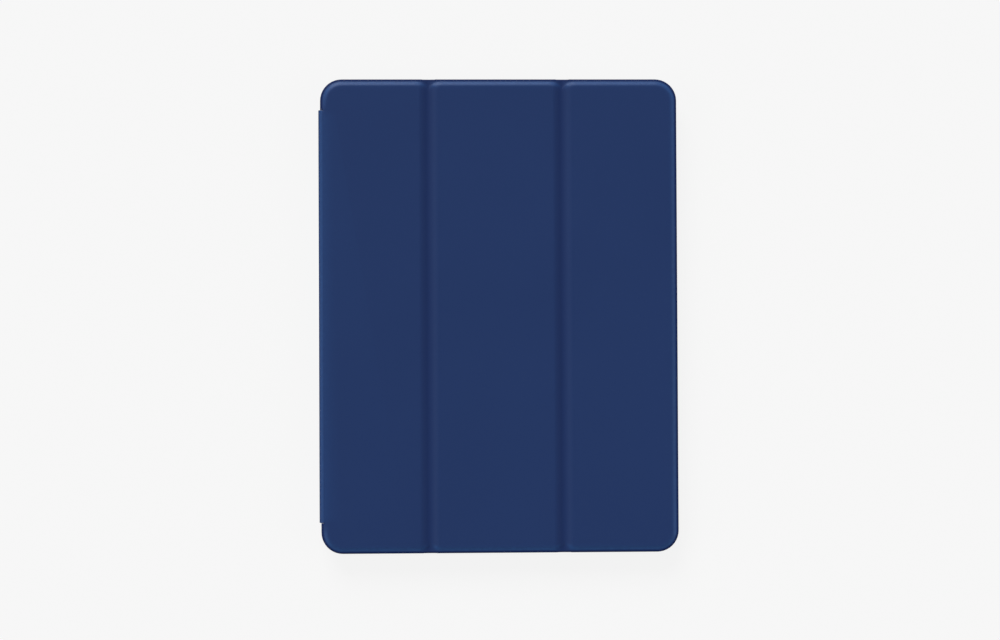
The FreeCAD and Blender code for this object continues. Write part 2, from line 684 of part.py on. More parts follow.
# Keyboard, lying keys down: base with floor and walls, closed by the deck.
base = new_body("keyboard_base", "base_low")
deck = new_body("deck_blank", "deck_low", piece=False)
for body, length in ((base, "base_high - base_low"), (deck, "deck_thick")):
    blank = outline(new_sketch(body, "Blank"), "keyboard_rear", "keyboard_front", "0 - keyboard_end",
                    "keyboard_end", "keyboard_corner")
    pad(body, blank, length)
bevel_edges(base, base.Tip, "Edge", "base_edge_bevel", at_height("base_high - base_low"))
bevel_edges(deck, deck.Tip, "Edge", "deck_edge_bevel", at_height("0"))
hollow = outline(new_sketch(base, "Hollow"), "keyboard_rear + base_wall", "keyboard_front - base_wall",
                 "base_wall - keyboard_end", "keyboard_end - base_wall", "keyboard_corner - base_wall")
pocket(base, hollow, "floor_low - base_low", back=True)

# Switch board under the keys, on the base's floor.
switch_board = new_body("key_switch_board", "switch_low")
blank = outline(new_sketch(switch_board, "Blank"), "keys_rear", "keyboard_front - base_wall - switch_board_clear",
                "base_wall + switch_board_clear - keyboard_end", "keyboard_end - base_wall - switch_board_clear",
                (None, "keyboard_corner - base_wall - switch_board_clear",
                 "keyboard_corner - base_wall - switch_board_clear", None))
pad(switch_board, blank, "switch_board_thick")


# Keys of one row as runs of equal keys, from the left end at +Y; each run gives its count and width.
def key_runs(body, runs, make, grow, x_low, x_high, number):
    start = "0"
    for count, units, shown in runs:
        if shown:
            low_y = "field_end - (%s + %s) * key_pitch + key_space / 2 - %s" % (start, units, grow)
            high_y = "field_end - (%s) * key_pitch - key_space / 2 + %s" % (start, grow)
            number += 1
            sketch = new_sketch(body, "Key%d" % number, level=make["level"])
            outline(sketch, "%s - %s" % (x_low, grow), "%s + %s" % (x_high, grow), low_y, high_y, None)
            feature = make["build"](body, sketch)
            if count > 1:
                repeat(body, feature, "(%s) * key_pitch" % units, count)
        start = "%s + %d * (%s)" % (start, count, units)
    return number


keys = {"level": "key_rise + key_sink",
        "build": lambda body, sketch: pad(body, sketch, "key_rise + key_sink", back=True, taper="0 - key_taper")}
windows = {"level": "0 - key_clear", "build": lambda body, sketch: pad(body, sketch, "deck_thick + 2 * key_clear")}

function_cell = ("keys_rear + key_space / 2", "letters_rear - key_space / 2")


def letter_cell(row):
    return ("letters_rear + %d * row_pitch + key_space / 2" % row,
            "letters_rear + %d * row_pitch - key_space / 2" % (row + 1))


before_arrows = "3 + 2 * command_units + space_units"
option_units = "(key_units - 3 - (%s))" % before_arrows
upper_arrow = ("letters_rear + 4 * row_pitch + key_space / 2",
               "letters_rear + 9 * row_pitch / 2 - arrow_space / 2")
lower_arrow = ("letters_rear + 9 * row_pitch / 2 + arrow_space / 2",
               "letters_rear + 5 * row_pitch - key_space / 2")
key_rows = [
    ("function_row_keys", [(function_cell, [(14, "1", True)])]),
    ("number_row_keys", [(letter_cell(0), [(14, "1", True)])]),
    ("upper_letter_keys", [(letter_cell(1), [(1, "tab_units", True), (12, "1", True),
                                             (1, "(key_units - 12 - tab_units)", True)])]),
    ("home_row_keys", [(letter_cell(2), [(1, "caps_units", True), (11, "1", True),
                                         (1, "(key_units - 11 - caps_units)", True)])]),
    ("lower_letter_keys", [(letter_cell(3), [(1, "shift_units", True), (10, "1", True),
                                             (1, "(key_units - 10 - shift_units)", True)])]),
    ("bottom_row_keys", [(letter_cell(4), [(3, "1", True), (1, "command_units", True),
                                           (1, "space_units", False), (1, "command_units", True),
                                           (1, option_units, True), (1, "1", True), (1, "1", False),
                                           (1, "1", True)]),
                         (upper_arrow, [(1, "(key_units - 2)", False), (1, "1", True)]),
                         (lower_arrow, [(1, "(key_units - 2)", False), (1, "1", True)])]),
    ("space_bar", [(letter_cell(4), [(1, "(3 + command_units)", False), (1, "space_units", True)])]),
]
window_rows = []
for label, cells in key_rows:
    row = new_body(label, "keys_low")
    window_row = new_body(label + "_windows", "deck_low", piece=False)
    window_rows.append(window_row)
    number = 0
    for (x_low, x_high), runs in cells:
        key_runs(window_row, runs, windows, "key_clear", x_low, x_high, number)
        number = key_runs(row, runs, keys, "0", x_low, x_high, number)

# Status lights: short light pipes through the deck's rear bar.
lights = new_body("status_lights", "deck_low")


def light_outline(body, name, grow):
    half = "light_width / 2 + %s" % grow
    return outline(new_sketch(body, name), "bar_middle - (%s)" % half, "bar_middle + %s" % half,
                   "0 - light_place - (%s)" % half, "%s - light_place" % half, "light_corner", straight=True)


repeat(lights, pad(lights, light_outline(lights, "Pipe", "0"), "deck_thick"), "light_pitch", 3)
hole = pocket(deck, light_outline(deck, "LightHole", "bond_clear"), "deck_thick", back=True)
repeat(deck, hole, "light_pitch", 3)

# Battery and control board on the floor of the rear bar.
battery = new_body("keyboard_battery", "floor_low - battery_thick")
cell = outline(new_sketch(battery, "Cell"), "bar_middle - battery_width / 2", "bar_middle + battery_width / 2",
               "battery_place - battery_length / 2", "battery_place + battery_length / 2", None)
pad(battery, cell, "battery_thick")
control = new_body("control_board", "floor_low - control_thick")
card = outline(new_sketch(control, "Card"), "bar_middle - control_width / 2", "bar_middle + control_width / 2",
               "control_place - control_length / 2", "control_place + control_length / 2", None)
pad(control, card, "control_thick")

# Block magnets in pockets of the base's floor, over the cover's steel strips.
holders = new_body("keyboard_magnets", "floor_low")
for body, half, cut in ((base, "(holder_width / 2 + holder_clear)", True), (holders, "holder_width / 2", False)):
    level = "floor_low - base_low" if cut else "0"
    blocks = new_sketch(body, "Holders", level=level)
    for x in ("keyboard_rear + holder_rear", "keyboard_rear + holder_rear + holder_spread"):
        outline(blocks, "%s - %s" % (x, half), "%s + %s" % (x, half), "holder_side - " + half,
                "holder_side + " + half, None)
    feature = pocket(body, blocks, "holder_thick", back=True) if cut else pad(body, blocks, "holder_thick")
    repeat(body, feature, "2 * holder_side", 2)

# Feet: four soft discs let into the base.
feet = new_body("keyboard_feet", "base_high - foot_recess")
for body, cut in ((base, True), (feet, False)):
    level = "base_high - base_low - foot_recess" if cut else "0"
    rounds = new_sketch(body, "Feet", level=level)
    for x in ("keyboard_rear + foot_inset", "keyboard_front - foot_inset"):
        disc(rounds, x, "keyboard_end - foot_inset", "foot_radius + bond_clear" if cut else "foot_radius")
    feature = pocket(body, rounds, "foot_recess", back=True) if cut else pad(body, rounds, "foot_recess + foot_rise")
    repeat(body, feature, "2 * (keyboard_end - foot_inset)", 2)


# Charging port at the left end of the rear bar: a shell with a blade inside it.
def plug_outline(body, name, level, z_from, grow, width="plug_width", height="plug_height"):
    sketch = new_sketch(body, name, "XZ_Plane", level)
    middle = "body_middle_z - (%s)" % z_from
    return outline(sketch, "plug_x - %s / 2 - (%s)" % (width, grow), "plug_x + %s / 2 + (%s)" % (width, grow),
                   "%s - %s / 2 - (%s)" % (middle, height, grow), "%s + %s / 2 + (%s)" % (middle, height, grow),
                   "%s / 3 + (%s)" % (height, grow))


port = new_body("charging_port")
pad(port, plug_outline(port, "Shell", "keyboard_end", "0", "0"), "plug_depth")
pocket(port, plug_outline(port, "Mouth", "keyboard_end", "0", "0 - plug_wall"), "plug_depth - plug_back", back=True)
blade = outline(new_sketch(port, "Blade", "XZ_Plane", "keyboard_end - plug_depth + plug_back"),
                "plug_x - blade_width / 2", "plug_x + blade_width / 2", "body_middle_z - blade_thick / 2",
                "body_middle_z + blade_thick / 2", None)
pad(port, blade, "plug_depth - plug_back - blade_short", back=True)
for body, z_from in ((base, "base_low"), (deck, "deck_low"), (switch_board, "switch_low")):
    pocket(body, plug_outline(body, "PlugHole", "keyboard_end", z_from, "plug_clear"), "plug_depth + plug_clear",
           back=True)

# Power switch at the right end of the rear bar: a knob in a slot, held by a flange inside the wall.
slot = outline(new_sketch(base, "KnobSlot", "XZ_Plane", "0 - keyboard_end"),
               "knob_x - window_length / 2", "knob_x + window_length / 2",
               "knob_middle_z - knob_height / 2 - knob_clear - base_low",
               "knob_middle_z + knob_height / 2 + knob_clear - base_low", None)
pocket(base, slot, "base_wall")
knob = new_body("keyboard_power_switch")
knob_low = "knob_x - window_length / 2 + knob_clear"
stem = outline(new_sketch(knob, "Stem", "XZ_Plane", "0 - keyboard_end - knob_proud"), knob_low,
               knob_low + " + knob_length", "knob_middle_z - knob_height / 2", "knob_middle_z + knob_height / 2",
               None)
pad(knob, stem, "knob_proud + base_wall + knob_clear + slider_thick", back=True)
flange = outline(new_sketch(knob, "Flange", "XZ_Plane", "base_wall + knob_clear - keyboard_end"),
                 knob_low + " - slider_flange", knob_low + " + knob_length + slider_flange",
                 "knob_middle_z - knob_height / 2 - slider_flange", "knob_middle_z + knob_height / 2 + slider_flange",
                 None)
pad(knob, flange, "slider_thick", back=True)

# The finished deck: the blank with a window cut for each key.
key_windows = doc.addObject("Part::Compound", "KeyWindows")
key_windows.Links = window_rows
cut_deck = doc.addObject("Part::Cut", "KeyboardDeck")
cut_deck.Label = "keyboard_deck"
cut_deck.Base = deck
cut_deck.Tool = key_windows
pieces.append(cut_deck)

doc.recompute()
for item in doc.Objects:
    if "Invalid" in item.State or "Error" in item.State:
        raise ValueError("%s did not build" % item.Label)
for piece in pieces:
    if piece.Shape.isNull() or not piece.Shape.isValid() or not piece.Shape.Solids:
        raise ValueError("%s has no valid shape" % piece.Label)
os.makedirs("parts", exist_ok=True)
for piece in pieces:
    piece.Shape.exportStep("parts/%s.step" % piece.Label)
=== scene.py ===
import bpy
import math
import numpy as np
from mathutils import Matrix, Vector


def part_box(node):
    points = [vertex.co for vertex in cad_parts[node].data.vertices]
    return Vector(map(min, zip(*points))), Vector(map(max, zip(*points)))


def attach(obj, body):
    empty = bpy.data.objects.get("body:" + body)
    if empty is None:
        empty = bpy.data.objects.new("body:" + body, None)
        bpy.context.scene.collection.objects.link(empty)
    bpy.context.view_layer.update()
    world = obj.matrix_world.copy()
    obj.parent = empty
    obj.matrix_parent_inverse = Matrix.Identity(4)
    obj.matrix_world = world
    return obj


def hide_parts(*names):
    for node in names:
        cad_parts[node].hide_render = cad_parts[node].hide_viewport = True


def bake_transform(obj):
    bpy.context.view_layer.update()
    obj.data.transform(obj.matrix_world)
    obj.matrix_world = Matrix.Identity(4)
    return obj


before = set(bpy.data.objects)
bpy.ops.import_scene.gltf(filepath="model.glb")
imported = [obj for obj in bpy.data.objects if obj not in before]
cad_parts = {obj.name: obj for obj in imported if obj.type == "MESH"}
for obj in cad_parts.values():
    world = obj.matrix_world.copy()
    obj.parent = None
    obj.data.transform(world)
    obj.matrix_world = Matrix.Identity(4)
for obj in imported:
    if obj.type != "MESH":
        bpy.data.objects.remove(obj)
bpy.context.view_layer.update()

mm = 0.001
quarter = 0.5 * math.pi  # of a turn
join = np.concatenate


# low and high corner of a CAD node in millimetres, rounded to the frame's own accuracy
def nodeBox(node):
    return [[round(c / mm, 4) for c in corner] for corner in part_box(node)]


# a grey of the screen in 0..255 as linear light: ((c + 0.055) / 1.055) to the power 2.4
def greyTone(level):
    light = ((level / 255.0 + 0.055) / 1.055) ** 2.4
    return (light, light, light, 1.0)


# camera, light and floor
photoView = {
    "place": (-0.07112, -0.03933, 1.72506),
    "tilt": (1.239, -2.404, -0.270),  # degrees about x, y and z
    "lens": 100.0,
}
cameraData = bpy.data.cameras.new("photoCamera")
cameraData.lens = photoView["lens"]
camera = bpy.data.objects.new("photoCamera", cameraData)
camera.location = photoView["place"]
camera.rotation_euler = [math.radians(a) for a in photoView["tilt"]]
bpy.context.collection.objects.link(camera)
bpy.context.scene.camera = camera
bpy.context.scene.view_settings.view_transform = "Standard"

studio = {
    "soft": 34.0,  # degrees across each lamp, as seen from the folio
    "lamps": {  # degrees round from +X, degrees up, and share of the light
        "lampTop": (107.0, 38.0, 0.58),
        "lampLeft": (186.0, 38.0, 0.11),
        "lampRight": (-8.0, 32.0, 0.08),
    },
    "fill": 0.20,  # the room's own share
    "pale": greyTone(247.0),
    "floorBounce": (0.30, 0.30, 0.31, 1.0),
    "floorHalf": 6000.0,  # millimetres, half of the floor's side
    "floorDown": 0.15,  # millimetres from the folio to the floor
    "shadow": 0.07,  # how much of the floor's shadow is seen
    "trayEdge": 1.35, "trayFade": 2.0,  # millimetres in from the tray's side to where all of it is seen
}
for lampName, (around, up, share) in studio["lamps"].items():
    lampData = bpy.data.lights.new(lampName, "SUN")
    lampData.angle = math.radians(studio["soft"])
    lampData.energy = math.pi * share / math.sin(math.radians(up))
    lamp = bpy.data.objects.new(lampName, lampData)
    lamp.rotation_euler = (math.radians(90.0 - up), 0.0, math.radians(around + 90.0))
    bpy.context.collection.objects.link(lamp)


# a sum, product or limit of two values as a Math node, with the wire first or second
def wireMath(operation, second=False):
    def made(wire, other):
        pair = {0: other, 1: wire} if second else {0: wire, 1: other}
        return wire.finish.node("ShaderNodeMath", {"operation": operation}, pair)
    return made


# a value in a finish's nodes
class Wire:
    __add__ = wireMath("ADD")
    __radd__ = wireMath("ADD", True)
    __sub__ = wireMath("SUBTRACT")
    __rsub__ = wireMath("SUBTRACT", True)
    __mul__ = wireMath("MULTIPLY")
    __rmul__ = wireMath("MULTIPLY", True)
    least = wireMath("MINIMUM")
    most = wireMath("MAXIMUM")

    def __init__(self, finish, socket):
        self.finish = finish
        self.socket = socket


# one finish: node() adds any node by its type, with its settings first and then its sockets
class Finish:
    def __init__(self, owner):
        self.owner = owner
        owner.use_nodes = True
        self.tree = owner.node_tree
        self.tree.nodes.clear()

    def node(self, kind, settings=None, sockets=None, out=0):
        made = self.tree.nodes.new(kind)
        for key, item in (settings or {}).items():
            setattr(made, key, item)
        for key, item in (sockets or {}).items():
            if isinstance(item, Wire):
                self.tree.links.new(item.socket, made.inputs[key])
            else:
                made.inputs[key].default_value = item
        return Wire(self, made.outputs[out]) if made.outputs else made

    def here(self):
        return self.node("ShaderNodeTexCoord", out=3)

    def stretched(self, scale, turn=(0.0, 0.0, 0.0)):
        return self.node("ShaderNodeMapping", None,
                         {"Vector": self.here(), "Scale": scale, "Rotation": turn})

    def noise(self, scale, detail=2.0, where=None, out=0):
        return self.node("ShaderNodeTexNoise", None,
                         {"Vector": where or self.here(), "Scale": scale, "Detail": detail}, out)

    def cells(self, scale, where=None, feature="F1", loose=1.0):
        return self.node("ShaderNodeTexVoronoi", {"feature": feature},
                         {"Vector": where or self.here(), "Scale": scale, "Randomness": loose})

    def colors(self, share, first, second):
        return self.node("ShaderNodeMix", {"data_type": "RGBA"}, {0: share, 6: first, 7: second}, out=2)

    def bump(self, height, strength, depth):
        return self.node("ShaderNodeBump", None,
                         {"Strength": strength, "Distance": depth * mm, "Height": height})

    def marked(self, attribute):
        return self.node("ShaderNodeAttribute", {"attribute_name": attribute}, out=2)

    # 1 for what the eye, gloss or glass looks at, 0 for light that falls
    def seen(self):
        path = self.node("ShaderNodeLightPath").socket.node
        eye, gloss, through = [Wire(self, path.outputs["Is %s Ray" % way])
                               for way in ("Camera", "Glossy", "Transmission")]
        return eye.most(gloss).most(through)

    def mixed(self, share, first, second):
        return self.node("ShaderNodeMixShader", None, {0: share, 1: first, 2: second})

    def surface(self, sockets):
        shader = self.node("ShaderNodeBsdfPrincipled", None, sockets)
        self.node("ShaderNodeOutputMaterial", None, {"Surface": shader})
        return self.owner


def newFinish(name):
    return Finish(bpy.data.materials.new(name))


# the room is pale to the eye and in gloss, and gives only its fill to the folio
room = Finish(bpy.data.worlds.new("room"))
bpy.context.scene.world = room.owner
paleRoom = room.node("ShaderNodeBackground", None, {"Color": studio["pale"]})
fillRoom = room.node("ShaderNodeBackground", None, {"Color": (1.0,) * 4, "Strength": studio["fill"]})
room.node("ShaderNodeOutputWorld", None, {"Surface": room.mixed(room.seen(), fillRoom, paleRoom)})

# the floor is pale to the eye and in gloss, with a share of the folio's shadow, and bounces little light
paper = newFinish("paleFloor")
bounced = paper.node("ShaderNodeBsdfDiffuse", None, {"Color": studio["floorBounce"]})
litPaper = paper.node("ShaderNodeBsdfDiffuse", None, {"Color": studio["pale"]})
evenPaper = paper.node("ShaderNodeEmission", None, {"Color": studio["pale"]})
fromMiddle = paper.node("ShaderNodeVectorMath", {"operation": "ABSOLUTE"}, {0: paper.here()})
spot = paper.node("ShaderNodeSeparateXYZ", None, {0: fromMiddle}).socket.node
halves = [(min(-low, high) - studio["trayEdge"]) * mm for low, high in zip(*nodeBox("bumper_frame"))]
underX, underY = [(half - Wire(paper, spot.outputs[axis])) * (1.0 / (studio["trayFade"] * mm))
                  for half, axis in zip(halves, "XY")]
covered = underX.least(underY).least(1.0).most(studio["shadow"])
shown = paper.mixed(covered, evenPaper, litPaper)
paper.node("ShaderNodeOutputMaterial", None, {"Surface": paper.mixed(paper.seen(), bounced, shown)})


# making meshes
# six times the volume inside, by fans over each face: negative means that the faces look inwards
def signedVolume(points, faces):
    total = 0.0
    for face in faces:
        ring = points[face] if face.ndim == 2 else points[face][None]
        a = ring[:, :1]
        b = ring[:, 1:-1]
        c = ring[:, 2:]
        total += float((a * np.cross(b, c)).sum())
    return total


# points in millimetres and lists of face arrays become one object in metres, faces outwards
def putPiece(name, points, faces, finish, sharp=38.0, marks=None, closed=True):
    points = np.asarray(points, dtype=float).reshape(-1, 3)
    if closed and signedVolume(points, faces) < 0:
        faces = [face[..., ::-1] for face in faces]
    lists = []
    for face in faces:
        lists += face.tolist() if face.ndim == 2 else [face.tolist()]
    mesh = bpy.data.meshes.new(name)
    mesh.from_pydata((points * mm).tolist(), [], lists)
    mesh.polygons.foreach_set("use_smooth", np.ones(len(mesh.polygons), dtype=bool))
    mesh.set_sharp_from_angle(angle=math.radians(sharp))
    for mark, values in (marks or {}).items():
        layer = mesh.attributes.new(mark, "FLOAT", "POINT")
        layer.data.foreach_set("value", np.ravel(values).astype(np.float32))
    mesh.validate()
    mesh.materials.append(finish)
    piece = bpy.data.objects.new(name, mesh)
    bpy.context.collection.objects.link(piece)
    return piece


# faces of a net of rows by columns whose rows close on themselves, with a cap on the first and last row
def tubeFaces(rows, columns, first=0):
    r, c = np.meshgrid(np.arange(rows - 1), np.arange(columns), indexing="ij")
    n = (c + 1) % columns
    quads = np.stack([r * columns + c, r * columns + n, (r + 1) * columns + n, (r + 1) * columns + c], -1)
    start = np.arange(columns)[::-1]
    end = (rows - 1) * columns + np.arange(columns)
    return [quads.reshape(-1, 4) + first, start + first, end + first]


# A rounded rectangle, counter-clockwise from its low left corner: corner centre + radius * (cos, sin),
# then points at the given shares of the side that follows. With it comes the way outwards at each point.
def roundedLoop(left, right, low, high, radii, steps=10, shares=()):
    radii = np.asarray(radii, dtype=float)
    shares = np.asarray(shares, dtype=float)
    corners = np.array([[left, low], [right, low], [right, high], [left, high]])
    inwards = np.array([[1, 1], [-1, 1], [-1, -1], [1, -1]])
    turn = math.pi + quarter * (np.arange(4)[:, None] + np.linspace(0.0, 1.0, steps + 1)[None])
    ways = np.stack([np.cos(turn), np.sin(turn)], -1)
    spots = (corners + inwards * radii[:, None])[:, None] + radii[:, None, None] * ways
    run = np.roll(spots[:, 0], -1, axis=0) - spots[:, -1]
    sides = spots[:, -1:] + run[:, None] * shares[None, :, None]
    spots = join([spots, sides], 1)
    ways = join([ways, np.broadcast_to(ways[:, -1:], sides.shape)], 1)
    return spots.reshape(-1, 2), ways.reshape(-1, 2)


# 0 below 0, 1 above 1, and 3 t squared - 2 t cubed between
def smoothStep(t):
    t = np.clip(t, 0.0, 1.0)
    return t * t * (3.0 - 2.0 * t)


# finishes: a noise's or cell's scale is how many of them go to a metre, and depths are in millimetres
leatherLook = {
    "color": (0.0122, 0.0322, 0.1125, 1.0),
    "deep": (0.0100, 0.0275, 0.1000, 1.0),
    # the lighter tone of scuffed edges, which also paints the highlight band on the edges' shoulders
    "wornAndSheen": (0.023, 0.076, 0.228, 1.0),
    "shadeAndPressing": (0.0024, 0.0122, 0.0680, 1.0),  # painted shade in the folds and along the rim, partly the darker tone of pressing
    "pebble": 0.75,  # millimetres across one pebble of the grain
    "pores": 5200.0,
    "stray": 900.0, "strayBy": 0.0004,  # how the lines between pebbles wander, in metres
    "rubAndSheenPatches": 420.0,  # patches in the scuffed edges' tone and their painted highlight
    "broad": 14.0,  # slow changes of tone
    "rough": 0.36,
    "shadeAndPressRough": 0.30,  # what the mask of painted shade in folds and rim adds to roughness
    "level": 0.14,  # how much the lacquer shines
    "grainDepth": 0.035,
}
leather = newFinish("navyLeather")
# mask of painted shade in the folds and at the rims, partly the tone of pressing
shadeAndPressMask = leather.marked("shadeAndPress")
rubAndSheenPatches = leather.noise(leatherLook["rubAndSheenPatches"])
strayBy = (leatherLook["strayBy"],) * 3
stray = leather.node("ShaderNodeVectorMath", {"operation": "MULTIPLY_ADD"},
                     {0: leather.noise(leatherLook["stray"], 1.0, out=1), 1: strayBy, 2: leather.here()})
creases = leather.cells(1.0 / (leatherLook["pebble"] * mm), stray, "DISTANCE_TO_EDGE")
pebbles = (creases * 4.0).least(1.0)
pores = leather.noise(leatherLook["pores"])
broad = leather.noise(leatherLook["broad"], 3.0)
tint = leather.colors((pebbles * 0.35 + broad * 0.75).least(1.0), leatherLook["deep"], leatherLook["color"])
# the edges go to the lighter tone: scuffing, and a painted highlight along their shoulders
rubAndSheenTone = leather.colors(leather.marked("wearAndSheen") * (0.35 + 0.5 * rubAndSheenPatches), tint, leatherLook["wornAndSheen"])
unevenness = 0.10 * pores - 0.07 * pebbles + 0.05 * broad
navyLeather = leather.surface({
    # the folds and rims go to the dark tone: painted shade, partly the darker tone of pressing
    "Base Color": leather.colors(shadeAndPressMask, rubAndSheenTone, leatherLook["shadeAndPressing"]),
    "Roughness": leatherLook["rough"] + unevenness + leatherLook["shadeAndPressRough"] * shadeAndPressMask,
    "Specular IOR Level": leatherLook["level"],
    "Normal": leather.bump(pebbles * 0.7 + pores * 0.3, 0.22, leatherLook["grainDepth"]),
})

napLook = {
    "color": (0.031, 0.050, 0.108, 1.0),
    "brushed": (0.046, 0.069, 0.138, 1.0),
    "fibre": 0.16,  # millimetres across a tuft
    "strokes": 60.0, "along": (1.0, 0.18, 1.0),  # the way the nap was last brushed
    "patches": 24.0,
    "rough": 0.88,
    "sheen": 0.20, "sheenRough": 0.45,
    "level": 0.1,
    "depth": 0.06,
}
nap = newFinish("microfibreNap")
tufts = nap.noise(1.0 / (napLook["fibre"] * mm), 3.0)
strokes = nap.noise(napLook["strokes"], 2.0, nap.stretched(napLook["along"]))
patches = nap.noise(napLook["patches"], 3.0)
lying = (patches * 0.6 + strokes * 0.4).least(1.0).most(0.0)
microfibre = nap.surface({
    "Base Color": nap.colors(lying * (0.6 + 0.4 * tufts), napLook["color"], napLook["brushed"]),
    "Roughness": napLook["rough"] + 0.10 * tufts,
    "Sheen Weight": napLook["sheen"],
    "Sheen Roughness": napLook["sheenRough"],
    "Specular IOR Level": napLook["level"],
    "Normal": nap.bump(tufts + 0.6 * strokes, 0.35, napLook["depth"]),
})

# moulded plastics and rubbers: colour, roughness, shine, millimetres across a spark of texture, its depth
mouldings = {
    "softFrame": ((0.0165, 0.030, 0.082, 1.0), 0.62, 0.28, 0.16, 0.05),
    "pressPad": ((0.019, 0.034, 0.090, 1.0), 0.50, 0.28, 0.12, 0.03),
    "hardBack": ((0.0185, 0.033, 0.088, 1.0), 0.55, 0.28, 0.34, 0.05),
    "deckPlastic": ((0.031, 0.035, 0.046, 1.0), 0.46, 0.28, 0.12, 0.03),
    "basePlastic": ((0.027, 0.031, 0.041, 1.0), 0.55, 0.28, 0.22, 0.05),
    "keyPlastic": ((0.0120, 0.0130, 0.0165, 1.0), 0.48, 0.28, 0.10, 0.02),
    "footRubber": ((0.015, 0.015, 0.016, 1.0), 0.80, 0.20, 0.25, 0.05),
    "legendInk": ((0.62, 0.64, 0.68, 1.0), 0.60, 0.28, 0.08, 0.01),
}
flowMarks = 30.0


# a fine spark-eroded texture, with soft flow marks in tone and gloss
def moulded(name):
    color, rough, shine, texture, depth = mouldings[name]
    plastic = newFinish(name)
    sparks = plastic.noise(1.0 / (texture * mm), 3.0)
    flow = plastic.noise(flowMarks, 3.0)
    lighter = tuple(min(1.0, c * 1.22) for c in color[:3]) + (1.0,)
    return plastic.surface({
        "Base Color": plastic.colors(flow * 0.7 + sparks * 0.3, color, lighter),
        "Roughness": rough + 0.12 * (sparks - 0.5) + 0.08 * (flow - 0.5),
        "Specular IOR Level": shine,
        "Normal": plastic.bump(sparks, 0.25, depth),
    })


plastics = {name: moulded(name) for name in mouldings}

# brushed metals: colour, roughness, and how the scores are drawn out
metals = {
    "magnetSteel": ((0.58, 0.58, 0.59, 1.0), 0.36, (1.0, 0.03, 1.0)),
    "portMetal": ((0.56, 0.57, 0.59, 1.0), 0.28, (0.04, 1.0, 1.0)),
}
metalScores = 900.0
metalStains = 90.0


# noise drawn out along one way varies the gloss and scores the surface
def brushed(name):
    color, rough, along = metals[name]
    metal = newFinish(name)
    scores = metal.noise(metalScores, 4.0, metal.stretched(along))
    stain = metal.noise(metalStains, 3.0)
    dull = tuple(c * 0.78 for c in color[:3]) + (1.0,)
    return metal.surface({
        "Base Color": metal.colors(scores * 0.6 + stain * 0.4, dull, color),
        "Metallic": 1.0,
        "Roughness": rough + 0.22 * (scores - 0.5) + 0.08 * stain,
        "Normal": metal.bump(scores, 0.12, 0.02),
    })


magnetSteel = brushed("magnetSteel")
portMetal = brushed("portMetal")

# pressed board: matted fibres of two tones
boardLook = {
    "dark": (0.25, 0.205, 0.155, 1.0), "light": (0.40, 0.345, 0.275, 1.0),
    "fibres": 700.0, "along": (1.0, 0.22, 1.0), "turn": (0.0, 0.0, 0.5),
    "flecks": 520.0,
    "rough": 0.86, "depth": 0.06,
}
board = newFinish("fibreboard")
fibres = board.noise(boardLook["fibres"], 4.0, board.stretched(boardLook["along"], boardLook["turn"]))
flecks = board.cells(boardLook["flecks"])
fibreboard = board.surface({
    "Base Color": board.colors(fibres * 0.8 + flecks * 0.25, boardLook["dark"], boardLook["light"]),
    "Roughness": boardLook["rough"] + 0.10 * fibres,
    "Normal": board.bump(fibres, 0.3, boardLook["depth"]),
})

# printed boards: colours of lacquer, track and pad, and how metallic the pads are
printedBoards = {
    "circuitBoard": ((0.012, 0.070, 0.036, 1.0), (0.030, 0.135, 0.070, 1.0), (0.70, 0.62, 0.42, 1.0), 0.9),
    "switchFilm": ((0.008, 0.008, 0.009, 1.0), (0.014, 0.014, 0.015, 1.0), (0.020, 0.020, 0.021, 1.0), 0.0),
}
tracing = {
    "tracks": 160.0, "trackWidth": 0.05,
    "pads": 230.0, "padSize": 0.22, "padLoose": 0.15, "padEdge": 12.0,
    "weave": 2400.0,
    "rough": 0.34, "level": 0.3, "depth": 0.03,
}


# lacquer over runs of track, with round pads at a nearly fixed pitch
def printedBoard(name):
    lacquer, track, pad, shine = printedBoards[name]
    printed = newFinish(name)
    flat = printed.stretched((1.0, 1.0, 0.0))
    tracks = printed.node("ShaderNodeTexBrick", {"offset": 0.5},
                          {"Vector": flat, "Scale": tracing["tracks"],
                           "Mortar Size": tracing["trackWidth"], "Color1": (0.0, 0.0, 0.0, 1.0),
                           "Color2": (0.25, 0.25, 0.25, 1.0), "Mortar": (1.0, 1.0, 1.0, 1.0)}, out=1)
    fromPad = printed.cells(tracing["pads"], flat, "F1", tracing["padLoose"])
    padHere = ((tracing["padSize"] - fromPad) * tracing["padEdge"]).least(1.0).most(0.0)
    weave = printed.noise(tracing["weave"])
    laid = printed.colors(tracks * 0.7 + weave * 0.2, lacquer, track)
    return printed.surface({
        "Base Color": printed.colors(padHere, laid, pad),
        "Metallic": padHere * shine,
        "Roughness": tracing["rough"] + 0.15 * weave,
        "Specular IOR Level": tracing["level"],
        "Normal": printed.bump(tracks + padHere, 0.2, tracing["depth"]),
    })


circuitBoard = printedBoard("circuitBoard")
switchFilm = printedBoard("switchFilm")

# pouch cell: crinkled foil with a dull lacquer
foilLook = {
    "dull": (0.50, 0.51, 0.53, 1.0), "bright": (0.68, 0.69, 0.71, 1.0),
    "crinkles": 210.0, "haze": 130.0,
    "metal": 0.9, "rough": 0.30, "depth": 0.15,
}
pouch = newFinish("batteryFoil")
crinkles = pouch.cells(foilLook["crinkles"], None, "SMOOTH_F1")
haze = pouch.noise(foilLook["haze"], 4.0)
batteryFoil = pouch.surface({
    "Base Color": pouch.colors(haze, foilLook["dull"], foilLook["bright"]),
    "Metallic": foilLook["metal"],
    "Roughness": foilLook["rough"] + 0.25 * haze,
    "Normal": pouch.bump(crinkles + 0.3 * haze, 0.3, foilLook["depth"]),
})

